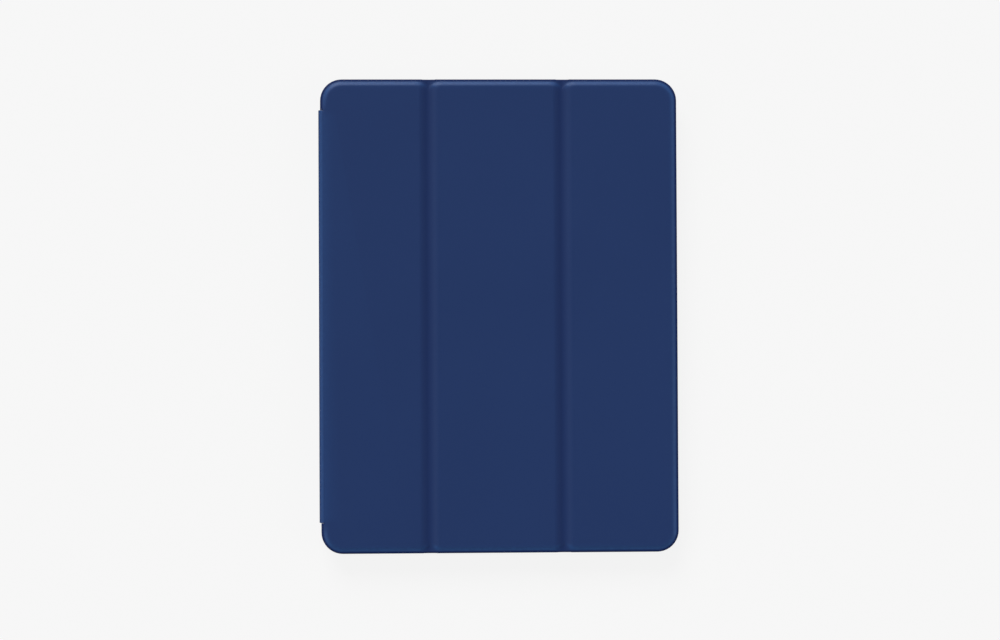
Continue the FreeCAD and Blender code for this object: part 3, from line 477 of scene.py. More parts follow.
# frosted light pipes
frostLook = {
    "dim": (0.70, 0.76, 0.80, 1.0), "clear": (0.86, 0.90, 0.94, 1.0),
    "cloud": 1500.0,
    "through": 0.35, "rough": 0.35, "depth": 0.03,
}
frost = newFinish("lightWindow")
cloud = frost.noise(frostLook["cloud"], 3.0)
lightWindow = frost.surface({
    "Base Color": frost.colors(cloud, frostLook["dim"], frostLook["clear"]),
    "Roughness": frostLook["rough"] + 0.25 * cloud,
    "Transmission Weight": frostLook["through"],
    "Normal": frost.bump(cloud, 0.2, frostLook["depth"]),
})
print("finishes made")

# floor: a flat net of squares
floorLine = np.linspace(-studio["floorHalf"], studio["floorHalf"], 9)
floorX, floorY = np.meshgrid(floorLine, floorLine, indexing="ij")
floorPoints = np.stack([floorX, floorY, np.full_like(floorX, -studio["floorDown"])], -1)
net = np.arange(floorX.size).reshape(floorX.shape)
floorFaces = np.stack([net[:-1, :-1], net[1:, :-1], net[1:, 1:], net[:-1, 1:]], -1)
floor = putPiece("floor", floorPoints, [floorFaces.reshape(-1, 4)], paper.owner, closed=False)

# cover panels
# A panel is its outline carried inwards in rings, and its height is a sum over the place: top - the
# shoulder's smooth step down to the rim, joined with the fold's valley - a soft crown - the rim's round.
panelBoxes = {side: nodeBox("skin_%s_panel" % side) for side in ("left", "middle", "right")}
coverLow, coverHigh = panelBoxes["middle"]
seamHigh = nodeBox("skin_cover_fold")[1]  # where the spine's leather meets the left panel
cover = {
    "top": coverHigh[2], "under": coverLow[2], "end": coverHigh[1],
    "edges": {side: (low[0], high[0]) for side, (low, high) in panelBoxes.items()},
    "corner": 13.2, "foldCorner": 0.3, "innerCorner": 2.5,
    "ring": 9.0,  # how far in the softening of an edge goes
    "crown": 0.18, "roundOut": 1.3, "roundDown": 0.72,
    "shoulderFrom": 0.8, "shoulderOver": 3.5, "shoulderDown": 0.95,
    "plateauCorner": 9.0, "plateauDraw": 0.5,  # how round a panel's raised part is beside a fold
    "hem": 2.8, "boardTop": nodeBox("left_panel_board")[1][2],
    "turnIn": [(0.0, 0.24), (0.08, 0.07), (0.28, 0.0)],  # the lower edge: how far in and up
    "notchX": seamHigh[0],
    "notchY": seamHigh[1] + 0.15,  # the notch's edge, clear of the spine's end
    "tabOver": 5.55,  # from there to where the corner's shoulder is whole
    "tabSpread": 3.0,  # how the notch's edge fans out inwards
    "spineCrown": 0.50,
    "wearAndSheenAt": 2.3, "wearAndSheenReach": 1.4,  # the scuffed band along an edge, which also paints its highlight
    "sideWearAndSheen": 0.65,  # how much of it there is half way along a side
    "notchWearAndSheenFrom": -2.0, "notchWearAndSheenOver": 14.0,  # it comes back from the notch to the corner
    "seamWearAndSheen": 0.35, "seamReach": 4.0, "seamFade": 3.0,  # the scuffing and painted highlight beside the spine
    "rim": 0.85, "rimFade": 1.0,  # the painted shade along the edge, partly the tone of pressing
}
foldLow, foldHigh = nodeBox("skin_left_fold")
valley = {
    "half": 0.5 * (foldHigh[0] - foldLow[0]), "endY": foldHigh[1],
    "reach": 6.2, "depth": 1.1,
    "leather": 0.8, "thinnest": 0.05,
    "clear": 0.02,  # from the leather down to the lining
    # how dark the painted shade along a fold gets, partly the tone of pressing
    "shadeAndPressing": 0.62,
    "shadeAndPressAt": -1.6,  # the painted shade's darkest line lies a little to the spine's side
    "shadeAndPressOver": 4.6,
}


# depth of a fold's valley at a distance from its middle: half a cosine wave
def valleyDrop(away):
    away = np.minimum(np.abs(away), valley["reach"])
    return valley["depth"] * 0.5 * (1.0 + np.cos(math.pi * away / valley["reach"]))


# how much painted shade a fold's leather takes, partly the tone of pressing: a peak that is gone at its
# spread
def foldShadeAndPress(across):
    part = np.clip(1.0 - np.abs(across - valley["shadeAndPressAt"]) / valley["shadeAndPressOver"], 0.0, 1.0)
    return valley["shadeAndPressing"] * part ** 0.7


# how much painted shade an edge takes, partly the tone of pressing: whole at the rim, then a smooth step to
# nothing
def rimShadeAndPress(inside):
    return 1.0 - smoothStep((inside - cover["rim"]) / cover["rimFade"])


# how much an edge is scuffed and given a painted highlight: a bell curve along the shoulder, more at the
# cover's two ends than at its sides
def edgeWearAndSheen(inside, y):
    ends = cover["sideWearAndSheen"] + (1.0 - cover["sideWearAndSheen"]) * (y / cover["end"]) ** 2
    return ends * np.exp(-((inside - cover["wearAndSheenAt"]) / cover["wearAndSheenReach"]) ** 2)


# drop of a rounded rim: an ellipse quarter, roundOut wide and roundDown high
def rimDrop(inside):
    part = np.clip(1.0 - inside / cover["roundOut"], 0.0, 1.0)
    return cover["roundDown"] * (1.0 - np.sqrt(1.0 - part * part))


# the cube of what is left of the softened ring at a distance from an edge
def crownDrop(fromEdge, height):
    return height * np.clip(1.0 - fromEdge / cover["ring"], 0.0, 1.0) ** 3


# the shoulder and the valley as the cube root of the sum of their cubes, and the crown
def softDrop(fromEdge, intoValley):
    down = 1.0 - smoothStep((fromEdge - cover["shoulderFrom"]) / cover["shoulderOver"])
    shoulder = cover["shoulderDown"] * down
    return np.cbrt(shoulder ** 3 + intoValley ** 3) + crownDrop(fromEdge, cover["crown"])


# how far the raised part's end is drawn in near a fold's middle: the sagitta of its rounded corner
def drawnIn(fromFold):
    r = cover["plateauCorner"]
    part = np.clip(r - np.abs(fromFold), 0.0, r)
    return cover["plateauDraw"] * (r - np.sqrt(r * r - part * part))


# what the folds beside a panel add up to at a place, for a function of the place across a fold
def besideFolds(side, x, shape):
    left, right = cover["edges"][side]
    total = np.zeros_like(x)
    if side != "left":
        total = total + shape(valley["half"] + np.maximum(x - left, 0.0))
    if side != "right":
        total = total + shape(-valley["half"] - np.maximum(right - x, 0.0))
    return total


# how far a place is from a panel's free edges: its ends, its outer side and the round corners between them
def fromFreeEdge(side, x, fromEnd):
    if side == "middle":
        return fromEnd
    left, right = cover["edges"][side]
    fromSide = x - left if side == "left" else right - x
    r = cover["corner"]
    bent = r - np.hypot(r - fromEnd, r - fromSide)
    return np.where((fromEnd < r) & (fromSide < r), bent, np.minimum(fromEnd, fromSide))


# drop of a panel's leather at a place, without the round of its rim
def panelDrop(side, x, y):
    fromEnd = cover["end"] - np.abs(y) - besideFolds(side, x, drawnIn)
    intoValley = besideFolds(side, x, valleyDrop)
    drop = softDrop(fromFreeEdge(side, x, fromEnd), intoValley)
    if side != "left":
        return drop
    atSpine = smoothStep((cover["notchY"] + cover["tabOver"] - np.abs(y)) / cover["tabOver"])
    towards = crownDrop(x - cover["edges"]["left"][0], cover["spineCrown"])
    return (1.0 - atSpine) * drop + atSpine * (softDrop(fromEnd, intoValley) + towards)


# Marks on a panel's leather: the edges are scuffed and given a painted highlight, less at the notches and a
# little all along the spine, and the rims and folds take painted shade, partly the tone of pressing.
def panelMarks(side, x, y):
    fromEnd = cover["end"] - np.abs(y)
    wearAndSheen = edgeWearAndSheen(fromFreeEdge(side, x, fromEnd - besideFolds(side, x, drawnIn)), y)
    if side == "left":
        pastNotch = np.abs(y) - cover["notchY"]
        besideSpine = np.exp(-np.maximum(x - cover["notchX"], 0.0) / cover["seamReach"])
        wearAndSheen = wearAndSheen * smoothStep((pastNotch - cover["notchWearAndSheenFrom"]) / cover["notchWearAndSheenOver"])
        wearAndSheen = wearAndSheen + cover["seamWearAndSheen"] * besideSpine * smoothStep(-pastNotch / cover["seamFade"])
    rims = rimShadeAndPress(fromFreeEdge(side, x, fromEnd))
    return {"wearAndSheen": wearAndSheen, "shadeAndPress": np.maximum(rims, besideFolds(side, x, foldShadeAndPress))}


# The left panel's side at the spine: the edge of each notch runs in, and between the two the leather goes
# on to the spine. With its line come the same points a ring further in, and how free the edge is at each.
def notchedSide(left, ring):
    step = np.linspace(0.0, 1.0, 6)
    between = np.linspace(0.97, -0.97, 30) * cover["notchY"]
    tab = np.stack([left + (cover["notchX"] - left) * step, np.full(len(step), cover["notchY"])], -1)
    fanned = cover["notchY"] + cover["tabSpread"] * (1.0 - step)
    tabIn = np.stack([np.full(len(step), left + ring), fanned], -1)
    tabFree = 1.0 - smoothStep(step)
    seam = np.stack([np.full(len(between), cover["notchX"]), between], -1)
    seamIn = np.stack([np.full(len(between), left + ring), between], -1)
    mirror = [1.0, -1.0]
    outer = join([tab, seam, tab[::-1] * mirror])
    inner = join([tabIn, seamIn, tabIn[::-1] * mirror])
    return outer, inner, join([tabFree, np.zeros(len(between)), tabFree[::-1]])


# A panel's outline and its loop a ring further in, with the ways outwards: the corners are large at the
# panel's outer side and small beside a fold.
def panelLoops(side, left, right, end, look, outerCorner, shares=()):
    ring = look["ring"]
    cornerLeft = outerCorner if side == "left" else look["foldCorner"]
    cornerRight = outerCorner if side == "right" else look["foldCorner"]
    radii = np.array([cornerLeft, cornerRight, cornerRight, cornerLeft])
    outer, ways = roundedLoop(left, right, -end, end, radii, shares=shares)
    inner, _ = roundedLoop(left + ring, right - ring, ring - end, end - ring,
                           np.maximum(radii - ring, look["innerCorner"]), shares=shares)
    return outer, inner, ways


# Leather of a panel: rings from the crown out over the rim, then in under the board and up to its top.
def panelSkin(side):
    left, right = cover["edges"][side]
    ring = cover["ring"]
    # shares of a side, close together at its ends
    near = np.array([0.0015, 0.004, 0.007, 0.011, 0.016, 0.023, 0.032, 0.045, 0.065, 0.1, 0.16, 0.25, 0.37])
    shares = join([near, [0.5], 1.0 - near[::-1]])
    outer, inner, ways = panelLoops(side, left, right, cover["end"], cover, cover["corner"], shares)
    atFold = (side != "left") * smoothStep(-ways[:, 0]) + (side != "right") * smoothStep(ways[:, 0])
    free = 1.0 - atFold
    if side == "left":  # the notched side takes the place of the last one
        kept = len(outer) - len(shares)
        sideOuter, sideInner, sideFree = notchedSide(left, ring)
        outer = join([outer[:kept], sideOuter])
        inner = join([inner[:kept], sideInner])
        free = join([free[:kept], sideFree])
    # how far in each ring lies, on the upper side and then round the hem
    overRim = cover["roundOut"] * (1.0 - np.sin(np.linspace(0.0, quarter, 8)))
    inside = join([[ring, 7.4, 6.0, 5.0, 4.4, 3.9, 3.5, 3.1, 2.7, 2.35, 2.0, 1.7, 1.45], overRim])
    turned = np.array([(far, cover["under"] + up) for far, up in cover["turnIn"]]
                      + [(cover["hem"], cover["under"]), (cover["hem"], cover["boardTop"])])
    allInside = join([inside, turned[:, 0]])
    flat = outer[None] + (inner - outer)[None] * (allInside / ring)[:, None, None]
    x = flat[..., 0]
    y = flat[..., 1]
    upper = len(inside)
    drop = panelDrop(side, x[:upper], y[:upper]) + free[None] * rimDrop(inside)[:, None]
    z = join([cover["top"] - drop, np.repeat(turned[:, 1:], len(outer), 1)])
    skin = putPiece("leather_%s_panel" % side, np.stack([x, y, z], -1), tubeFaces(*z.shape), navyLeather,
                    marks=panelMarks(side, x, y))
    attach(skin, side + "_panel")
    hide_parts("skin_%s_panel" % side)


for side in cover["edges"]:
    panelSkin(side)

# linings of the panels: plates of napped cloth with a rolled edge
liningLow, liningHigh = nodeBox("lining_middle_panel")
lining = {
    "low": liningLow[2], "high": liningHigh[2], "end": liningHigh[1],
    "foldCorner": 0.8, "innerCorner": 0.6,
    "roll": 0.28, "ring": 6.0, "inner": 2.0,
}


# Lining of a panel: loops in along its lower face, round the edge on half an ellipse and back over the top.
def panelLining(side):
    low, high = nodeBox("lining_%s_panel" % side)
    left = low[0]
    right = high[0]
    end = lining["end"]
    ring = lining["ring"]
    outerCorner = cover["corner"] - (cover["end"] - end)
    outer, inner, _ = panelLoops(side, left, right, end, lining, outerCorner)
    turn = np.linspace(-quarter, quarter, 9)
    middle = 0.5 * (lining["low"] + lining["high"])
    half = 0.5 * (lining["high"] - lining["low"])
    rolled = lining["roll"] * (1.0 - np.cos(turn))
    inside = join([[ring, lining["inner"]], rolled, [lining["inner"], ring]])
    heights = join([[middle - half] * 2, middle + half * np.sin(turn), [middle + half] * 2])
    flat = outer[None] + (inner - outer)[None] * (inside / ring)[:, None, None]
    points = join([flat, np.repeat(heights[:, None, None], len(outer), 1)], -1)
    cloth = putPiece("microfibre_%s_panel" % side, points, tubeFaces(len(inside), len(outer)), microfibre)
    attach(cloth, side + "_panel")
    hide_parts("lining_%s_panel" % side)


for side in cover["edges"]:
    panelLining(side)
print("panels made")

# folds between the panels: the bodies on their two sides
folds = {"left": ("left_panel", "middle_panel"), "right": ("middle_panel", "right_panel")}


# place of a fold's middle line in x
def foldMiddle(side):
    low, high = nodeBox("skin_%s_fold" % side)
    return 0.5 * (low[0] + high[0])


# places along a strip's length, close together near its two ends: -end .. end
def alongStrip(end, rolled, steps=9, count=60):
    turn = np.linspace(0.0, quarter, steps)
    near = end - rolled * (1.0 - np.sin(turn))[::-1]
    middle = np.linspace(-end + rolled + 1.0, end - rolled - 1.0, count)
    return join([-near, middle, near[::-1]])


# a strip across a fold: each section goes over its upper face and back under its lower one
def stripPoints(x, y, high, low):
    z = join([high, low[:, ::-1]], 1)
    there = join([x, x[::-1]])
    return np.stack([np.broadcast_to(there, z.shape), np.broadcast_to(y[:, None], z.shape), z], -1)


# a fold's strip stays where it is made: its transform is baked into its points
def blendFold(strip):
    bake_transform(strip)


# Leather of a fold: the panels' own heights carried across the valley, and underneath one thickness lower.
def foldLeather(side):
    x = np.linspace(-valley["half"], valley["half"], 33)
    y = alongStrip(valley["endY"], cover["ring"], 25)
    fromEnd = (valley["endY"] - np.abs(y))[:, None]
    drop = softDrop(fromEnd - drawnIn(x)[None], valleyDrop(x)[None])
    high = cover["top"] - drop - rimDrop(fromEnd)
    low = np.maximum(cover["under"] + valley["clear"], cover["top"] - drop - valley["leather"])
    low = np.minimum(low, high - valley["thinnest"])
    points = stripPoints(x + foldMiddle(side), y, high, low)
    across = join([x, x[::-1]])[None]
    # painted shade in the valley and at the rims, partly the tone of pressing; scuffing and a painted
    # highlight on the shoulders near the ends
    shadeAndPress = np.maximum(foldShadeAndPress(across), rimShadeAndPress(fromEnd))
    wearAndSheen = edgeWearAndSheen(fromEnd - drawnIn(across), y[:, None]) * np.abs(across) / valley["half"]
    strip = putPiece("leather_%s_fold" % side, points, tubeFaces(*points.shape[:2]), navyLeather,
                     marks={"shadeAndPress": shadeAndPress, "wearAndSheen": wearAndSheen})
    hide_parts("skin_%s_fold" % side)
    blendFold(strip)


# cloth under a fold, drawn up into it
foldCloth = {
    "low": 0.60, "high": 0.25,  # how far each face is drawn up
    "roll": 0.3, "rollShare": 0.45,  # the rolled ends: how long, and how much of the thickness goes
    "flatWidth": 0.010,  # metres: the narrowest width of a sheet
}


# Each face rises by half a cosine wave across the fold, so the cloth is thinnest along the middle, and the
# two faces come together on an ellipse at the ends.
def foldLining(side):
    x = np.linspace(-valley["half"], valley["half"], 25)
    end = lining["end"]
    y = alongStrip(end, foldCloth["roll"])
    part = np.clip(1.0 - (end - np.abs(y)) / foldCloth["roll"], 0.0, 1.0)
    wave = (0.5 * (1.0 + np.cos(math.pi * x / valley["half"])))[None]
    low = lining["low"] + foldCloth["low"] * wave
    high = lining["high"] + foldCloth["high"] * wave
    rolled = foldCloth["rollShare"] * (high - low) * (1.0 - np.sqrt(1.0 - part * part))[:, None]
    points = stripPoints(x + foldMiddle(side), y, high - rolled, low + rolled)
    strip = putPiece("microfibre_%s_fold" % side, points, tubeFaces(*points.shape[:2]), microfibre)
    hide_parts("lining_%s_fold" % side)
    blendFold(strip)


for side in folds:
    foldLeather(side)
    foldLining(side)
print("folds made")

# spine: its section is a line in x and z
spineLow, spineHigh = nodeBox("skin_spine")
spine = {
    "end": spineHigh[1], "out": spineLow[0], "thick": spineHigh[0] - spineLow[0],
    "lowAxis": spineLow[2], "highAxis": spineHigh[2],
    "in": nodeBox("skin_back_fold")[1][0], "stripEdge": nodeBox("skin_back_strip")[1][0],
    "bulge": 0.08,
    "rise": 1.05, "reach": 1.35,  # the cover turn's curve: how far it goes on upright and level
    "backWearAndSheen": 0.7, "coverWearAndSheen": 0.8,  # how far the two turns are scuffed and given a painted highlight
    "coverShadeAndPress": 0.6, "shadeAndPressOver": 0.5,  # painted shade on the outer edge, partly the tone of pressing, over this share of the cover turn
}


# share of a band's thickness that is left near an edge: a quarter circle, never quite closed
def edgeRoll(distance, radius):
    part = np.clip(1.0 - distance / radius, 0.0, 1.0)
    return np.sqrt(np.clip(1.0 - part * part, 0.03, 1.0))


# A band: its outer line runs through the section, and its thickness comes down to a roll at
# both ends of its length and, where asked, at the first or last line of the section.
def bandSolid(name, line, normals, thick, end, finish, rollFirst=False, rollLast=False, marks=None):
    half = 0.5 * thick
    y = alongStrip(end, half)
    run = join([[0.0], np.cumsum(np.linalg.norm(np.diff(line, axis=0), axis=1))])
    alongLine = np.ones(len(line))
    if rollFirst:
        alongLine = np.minimum(alongLine, edgeRoll(run, half))
    if rollLast:
        alongLine = np.minimum(alongLine, edgeRoll(run[-1] - run, half))
    full = half * (edgeRoll(end - np.abs(y), half)[:, None] * alongLine[None])
    centre = line - normals * half
    outer = centre[None] + normals[None] * full[..., None]
    inner = centre[None] - normals[None] * full[..., None]
    loop = join([outer, inner[:, ::-1]], 1)
    net = loop.shape[:2]
    points = np.stack([loop[..., 0], np.broadcast_to(y[:, None], net), loop[..., 1]], -1)
    spread = {mark: np.broadcast_to(join([values, 0.0 * values]), net)
              for mark, values in (marks or {}).items()}
    return putPiece(name, points, tubeFaces(*net), finish, marks=spread)


# a band of the spine's own leather
def leatherBand(name, line, normals, **more):
    return bandSolid(name, line, normals, spine["thick"], spine["end"], navyLeather, **more)


# left-hand normals of a line in the section
def sectionNormals(line):
    way = np.gradient(line, axis=0)
    way = way / np.linalg.norm(way, axis=1)[:, None]
    return np.stack([-way[:, 1], way[:, 0]], -1)


# back strip: flat along the back, from its free edge to the spine
edgeX = spine["stripEdge"] - 0.5 * spine["thick"] * (1.0 - np.cos(np.linspace(0.0, quarter, 7)))
stripX = join([edgeX, np.linspace(spine["stripEdge"] - 1.0, spine["in"], 8)])
stripLine = np.stack([stripX, np.zeros_like(stripX)], -1)
downwards = np.broadcast_to([0.0, -1.0], stripLine.shape)
backStrip = leatherBand("leather_back_strip", stripLine, downwards, rollFirst=True)
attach(backStrip, "tray")
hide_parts("skin_back_strip")

# turn from the back to the spine: a quarter circle about the low fold's axis
turn = np.linspace(3.0 * quarter, 2.0 * quarter, 15)
turnWays = np.stack([np.cos(turn), np.sin(turn)], -1)
turnLine = np.array([spine["in"], spine["lowAxis"]]) + (spine["in"] - spine["out"]) * turnWays
# scuffing and a painted highlight along the back's turn
turnWearAndSheen = spine["backWearAndSheen"] * np.sin(np.linspace(0.0, math.pi, len(turn)))
backTurn = leatherBand("leather_back_fold", turnLine, turnWays, marks={"wearAndSheen": turnWearAndSheen})
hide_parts("skin_back_fold")
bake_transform(backTurn)

# spine: a tall band that swells out a little between its two folds
upZ = np.linspace(spine["lowAxis"], spine["highAxis"], 25)
swell = spine["bulge"] * np.sin(np.linspace(0.0, math.pi, len(upZ))) ** 2
spineLine = np.stack([spine["out"] - swell, upZ], -1)
spineBand = leatherBand("leather_spine", spineLine, sectionNormals(spineLine))
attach(spineBand, "spine")
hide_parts("skin_spine")

# turn from the spine to the cover: a cubic curve from upright to the cover's crowned edge
crestPart = 1.0 - (cover["notchX"] - cover["edges"]["left"][0]) / cover["ring"]
crestZ = cover["top"] - cover["spineCrown"] * crestPart ** 3
crestSlope = 3.0 * cover["spineCrown"] * crestPart ** 2 / cover["ring"]
knots = np.array([[spine["out"], spine["highAxis"]],
                  [spine["out"], spine["highAxis"] + spine["rise"]],
                  [cover["notchX"] - spine["reach"], crestZ - spine["reach"] * crestSlope],
                  [cover["notchX"], crestZ]])
step = np.linspace(0.0, 1.0, 25)
s = step[:, None]
t = 1.0 - s
crestLine = t ** 3 * knots[0] + 3 * s * t ** 2 * knots[1] + 3 * s * s * t * knots[2] + s ** 3 * knots[3]
# the cover turn's scuffing with a painted highlight, and painted shade at its outer edge
crestMarks = {
    "wearAndSheen": spine["coverWearAndSheen"] * np.sin(math.pi * step ** 1.5),
    "shadeAndPress": spine["coverShadeAndPress"] * (1.0 - smoothStep(step / spine["shadeAndPressOver"])),
}
coverTurn = leatherBand("leather_cover_fold", crestLine, sectionNormals(crestLine), marks=crestMarks)
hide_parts("skin_cover_fold")
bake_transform(coverTurn)

# cloth on the inside of the spine, up to its board's top, with both long edges rolled
clothLow, clothHigh = nodeBox("lining_spine")
spineNap = {
    "high": nodeBox("spine_board")[1][2] + 0.05, "low": clothLow[2], "end": clothHigh[1],
    "thick": clothHigh[0] - clothLow[0],
    "edge": 0.7,  # from an edge to the even part
}
rolled = 0.5 * spineNap["thick"] * (1.0 - np.cos(np.linspace(0.0, quarter, 6)))
evenZ = np.linspace(spineNap["high"] - spineNap["edge"], spineNap["low"] + spineNap["edge"], 12)
clothZ = join([spineNap["high"] - rolled, evenZ, spineNap["low"] + rolled[::-1]])
clothLine = np.stack([np.full_like(clothZ, spine["in"]), clothZ], -1)
spineCloth = bandSolid("microfibre_spine", clothLine, sectionNormals(clothLine), spineNap["thick"],
                       spineNap["end"], microfibre, rollFirst=True, rollLast=True)
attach(spineCloth, "spine")
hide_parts("lining_spine")
print("spine made")

# keys
rowLow, rowHigh = nodeBox("number_row_keys")
rowUnits = 14.0
keySpace = 2.8
cap = {
    "space": keySpace, "arrowSpace": 1.2,
    "fieldEnd": rowHigh[1] + 0.5 * keySpace,
    "pitch": (rowHigh[1] - rowLow[1] + keySpace) / rowUnits,
    "face": rowLow[2], "root": rowHigh[2],
    "lean": 0.34,  # how much narrower a side is at the face
    "corner": 1.5, "edge": 0.32,
    "dish": 0.16, "dishReach": 7.0,
    "ink": 0.03,  # half of it stands proud
    "letter": 4.6, "word": 2.7, "low": 2.4,  # sizes of the type, the last on keys under lowKey
    "lowKey": 5.0,  # half of a key's depth
}
fingerBar = {"length": 3.6, "half": 0.36, "tall": 0.24, "forward": 4.6}


# keys of one unit
def plainKeys(words):
    return [(word, 1.0) for word in words]


# body: runs of keys from the left end at +Y, as the part of the row's depth, the units before the run, and
# each key's legend and units
keyRows = {
    "function_row_keys": [("whole", 0.0, plainKeys(["esc"] + ["F%d" % n for n in range(1, 13)] + ["del"]))],
    "number_row_keys": [("whole", 0.0, plainKeys([*"`1234567890-=", "back"]))],
    "upper_letter_keys": [("whole", 0.0, [("tab", 1.25)] + plainKeys("QWERTYUIOP[]") + [("\\", 0.75)])],
    "home_row_keys": [("whole", 0.0, [("caps", 1.5)] + plainKeys("ASDFGHJKL;'") + [("enter", 1.5)])],
    "lower_letter_keys": [("whole", 0.0, [("shift", 2.0)] + plainKeys("ZXCVBNM,./") + [("shift", 2.0)])],
    "bottom_row_keys": [
        ("whole", 0.0, plainKeys(["fn", "ctrl", "alt"]) + [("cmd", 1.25)]),
        ("whole", 9.0, [("cmd", 1.25), ("alt", 0.75), ("left", 1.0)]),
        ("rear", 12.0, [("up", 1.0)]),
        ("front", 12.0, [("down", 1.0)]),
        ("whole", 13.0, [("right", 1.0)]),
    ],
    "space_bar": [("whole", 4.25, [("", 4.75)])],
}


# rear and front edge of a run's keys: the arrows up and down share the depth of one row
def runDepth(part, rear, front):
    split = 0.5 * (rear + front)
    if part == "rear":
        return rear, split - 0.5 * cap["arrowSpace"]
    if part == "front":
        return split + 0.5 * cap["arrowSpace"], front
    return rear, front


# middles and half sizes of a row's keys, from the running total of their units
def keyPlaces(body):
    low, high = nodeBox(body)
    places = []
    for part, start, keys in keyRows[body]:
        rear, front = runDepth(part, low[0], high[0])
        units = np.array([u for _, u in keys])
        begin = start + join([[0.0], np.cumsum(units)[:-1]])
        left = cap["fieldEnd"] - begin * cap["pitch"] - 0.5 * cap["space"]
        right = cap["fieldEnd"] - (begin + units) * cap["pitch"] + 0.5 * cap["space"]
        places.append(np.stack([np.full(len(keys), 0.5 * (rear + front)), 0.5 * (left + right),
                                np.full(len(keys), 0.5 * (front - rear)), 0.5 * (left - right)], -1))
    legends = [legend for _, _, keys in keyRows[body] for legend, _ in keys]
    return join(places), legends


# depth of the dish in a key's face: deepest along its middle line, gone at the two sides
def dishAt(offset, half):
    part = np.clip(np.abs(offset) / np.minimum(half, cap["dishReach"]), 0.0, 1.0)
    return cap["dish"] * (1.0 - part * part)


# half of a key's face across the dish
def faceHalf(halfY):
    return halfY - cap["lean"] - cap["edge"]


# Caps of one row: each is its rounded outline in rings, from the root up the leaning side, round the edge
# and in over the dished face to its middle.
def keyCaps(body, places):
    unit, ways = roundedLoop(-1.0, 1.0, -1.0, 1.0, [0.0] * 4, 4, np.linspace(0.0, 1.0, 8)[1:-1])
    bend = np.linspace(0.0, quarter, 4)
    edge = cap["edge"]
    inset = join([[0.0], cap["lean"] + edge * (1.0 - np.cos(bend))])
    height = join([[cap["root"]], cap["face"] + edge * (1.0 - np.sin(bend))])
    half = places[:, None, None, 2:] - inset[None, :, None, None]
    corner = np.minimum(cap["corner"], 0.8 * half.min(-1, keepdims=True))
    loop = unit[None, None] * (half - corner) + corner * ways[None, None]
    shrink = np.array([0.7, 0.4, 0.1])
    loop = join([loop, loop[:, -1:] * shrink[None, :, None, None]], 1)
    height = join([height, [cap["face"]] * len(shrink)])[None, :, None]
    z = height + dishAt(loop[..., 1], half[:, -1:, :, 1]) * (height < cap["root"])
    points = join([places[:, None, None, :2] + loop, z[..., None]], -1)
    count, rings, around = points.shape[:3]
    shift = (np.arange(count) * rings * around)[:, None, None]
    faces = [np.atleast_2d(face)[None] + shift for face in tubeFaces(rings, around)]
    faces = [face.reshape(-1, face.shape[-1]) for face in faces]
    caps = putPiece("caps_" + body, points, faces, plastics["keyPlastic"], sharp=50.0)
    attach(caps, body)
    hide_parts(body)


# One legend as a thin solid: x along the word, y up, centred, in millimetres.
# An arrow is one outline turned by quarters, and a word comes from the built-in type.
arrows = {"right": 0.0, "up": 1.0, "left": 2.0, "down": 3.0}
arrow = {"half": 0.55, "shaft": 0.06, "neck": 0.2, "head": 0.3}  # shares of the type's size


# the upper half of the outline and its mirror image, with the tip between, turned and made two layers
def arrowShape(quarters, size):
    upper = np.array([[arrow["neck"], arrow["head"]], [arrow["neck"], arrow["shaft"]],
                      [-arrow["half"], arrow["shaft"]]])
    lower = upper[::-1] * [1.0, -1.0]
    line = size * join([lower, [[arrow["half"], 0.0]], upper])
    c = math.cos(quarters * quarter)
    s = math.sin(quarters * quarter)
    turned = line @ np.array([[c, s], [-s, c]])
    half = np.full(len(line), 0.5 * cap["ink"])
    spots = join([np.column_stack([turned, -half]), np.column_stack([turned, half])])
    sides, low, high = tubeFaces(2, len(line))
    return spots, sides.tolist() + [low.tolist(), high.tolist()]


def legendShape(word, size):
    if word in arrows:
        return arrowShape(arrows[word], size)
    text = bpy.data.curves.new("legend", "FONT")
    text.body = word
    text.size = size
    text.extrude = 0.5 * cap["ink"]
    text.align_x = "CENTER"
    text.align_y = "CENTER"
    text.resolution_u = 3
    holder = bpy.data.objects.new("legend", text)
    bpy.context.collection.objects.link(holder)
    bpy.context.view_layer.update()
    mesh = bpy.data.meshes.new_from_object(holder.evaluated_get(bpy.context.evaluated_depsgraph_get()))
    spots = np.empty(len(mesh.vertices) * 3)
    mesh.vertices.foreach_get("co", spots)
    faces = [list(face.vertices) for face in mesh.polygons]
    bpy.data.objects.remove(holder)
    bpy.data.curves.remove(text)
    bpy.data.meshes.remove(mesh)
    return spots.reshape(-1, 3), faces


# size of a legend's type, by the key's depth and the word's length
def legendSize(word, halfX):
    if halfX < cap["lowKey"]:
        return cap["low"]
    return cap["letter"] if len(word) == 1 else cap["word"]


# Printed legends of a row: right of a word is -Y and its top is -X, laid on the dished faces.
def keyLegends(body, places, legends):
    spots = []
    faces = []
    first = 0
    for (x, y, halfX, halfY), word in zip(places, legends):
        if not word:
            continue
        shape, sides = legendShape(word, legendSize(word, halfX))
        z = cap["face"] + dishAt(shape[:, 0], faceHalf(halfY)) - shape[:, 2]
        spots.append(np.stack([x - shape[:, 1], y - shape[:, 0], z], -1))
        faces += [np.array(side) + first for side in sides]
        first += len(shape)
    if not spots:
        return
    ink = putPiece("legends_" + body, join(spots), faces, plastics["legendInk"])
    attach(ink, body)


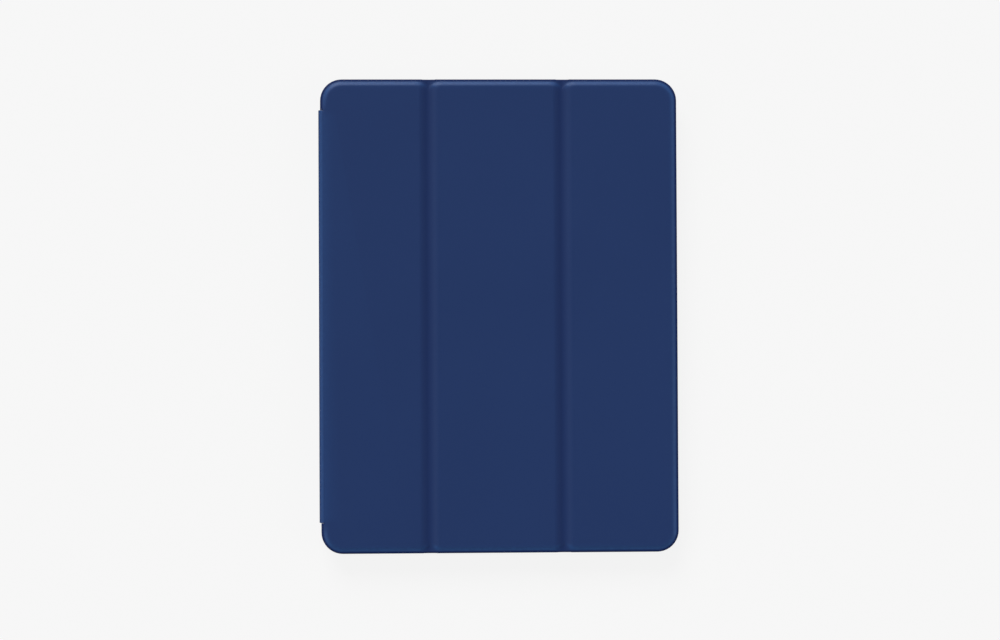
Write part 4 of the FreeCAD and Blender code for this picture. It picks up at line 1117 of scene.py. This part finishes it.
# Finger bars on F and J: ellipses, half sunk in the key and carried along y, smaller towards both ends.
def fingerBars(places, legends):
    along = np.sin(np.linspace(-quarter, quarter, 15))
    swell = np.clip(1.0 - np.abs(along) ** 6, 0.05, 1.0)[:, None] ** 0.5
    around = np.linspace(0.0, 4.0 * quarter, 16, endpoint=False)[None]
    offset = 0.5 * fingerBar["length"] * along
    spots = []
    faces = []
    for x, y, _, halfY in places[[legends.index("F"), legends.index("J")]]:
        dip = dishAt(offset, faceHalf(halfY))[:, None]
        barX = x + fingerBar["forward"] + fingerBar["half"] * swell * np.cos(around)
        barZ = cap["face"] + dip - fingerBar["tall"] * swell * np.sin(around)
        faces += tubeFaces(*barX.shape, barX.size * len(spots))
        spots.append(np.stack([barX, np.broadcast_to(y + offset[:, None], barX.shape), barZ], -1))
    bars = putPiece("finger_bars", join(spots), faces, plastics["keyPlastic"])
    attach(bars, "home_row_keys")


for body in keyRows:
    places, legends = keyPlaces(body)
    keyCaps(body, places)
    keyLegends(body, places, legends)
    if body == "home_row_keys":
        fingerBars(places, legends)
print("keys made")

# finishes on the pieces that keep their CAD shape
carried = [
    (plastics["softFrame"], ["bumper_frame"]),
    (plastics["hardBack"], ["back_plate"]),
    (plastics["pressPad"], ["power_button", "volume_up_button", "volume_down_button"]),
    (fibreboard, ["spine_board", "left_panel_board", "middle_panel_board", "right_panel_board"]),
    (magnetSteel, ["stand_magnets", "closing_magnets", "keyboard_catch_strips", "keyboard_magnets"]),
    (plastics["basePlastic"], ["keyboard_base"]),
    (plastics["deckPlastic"], ["keyboard_deck"]),
    (switchFilm, ["key_switch_board"]),
    (circuitBoard, ["control_board"]),
    (batteryFoil, ["keyboard_battery"]),
    (plastics["footRubber"], ["keyboard_feet"]),
    (portMetal, ["charging_port"]),
    (lightWindow, ["status_lights"]),
    (plastics["keyPlastic"], ["keyboard_power_switch"]),
]
for finish, nodeNames in carried:
    for nodeName in nodeNames:
        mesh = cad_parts[nodeName].data
        mesh.materials.clear()
        mesh.materials.append(finish)
print("finishes on the carried pieces")
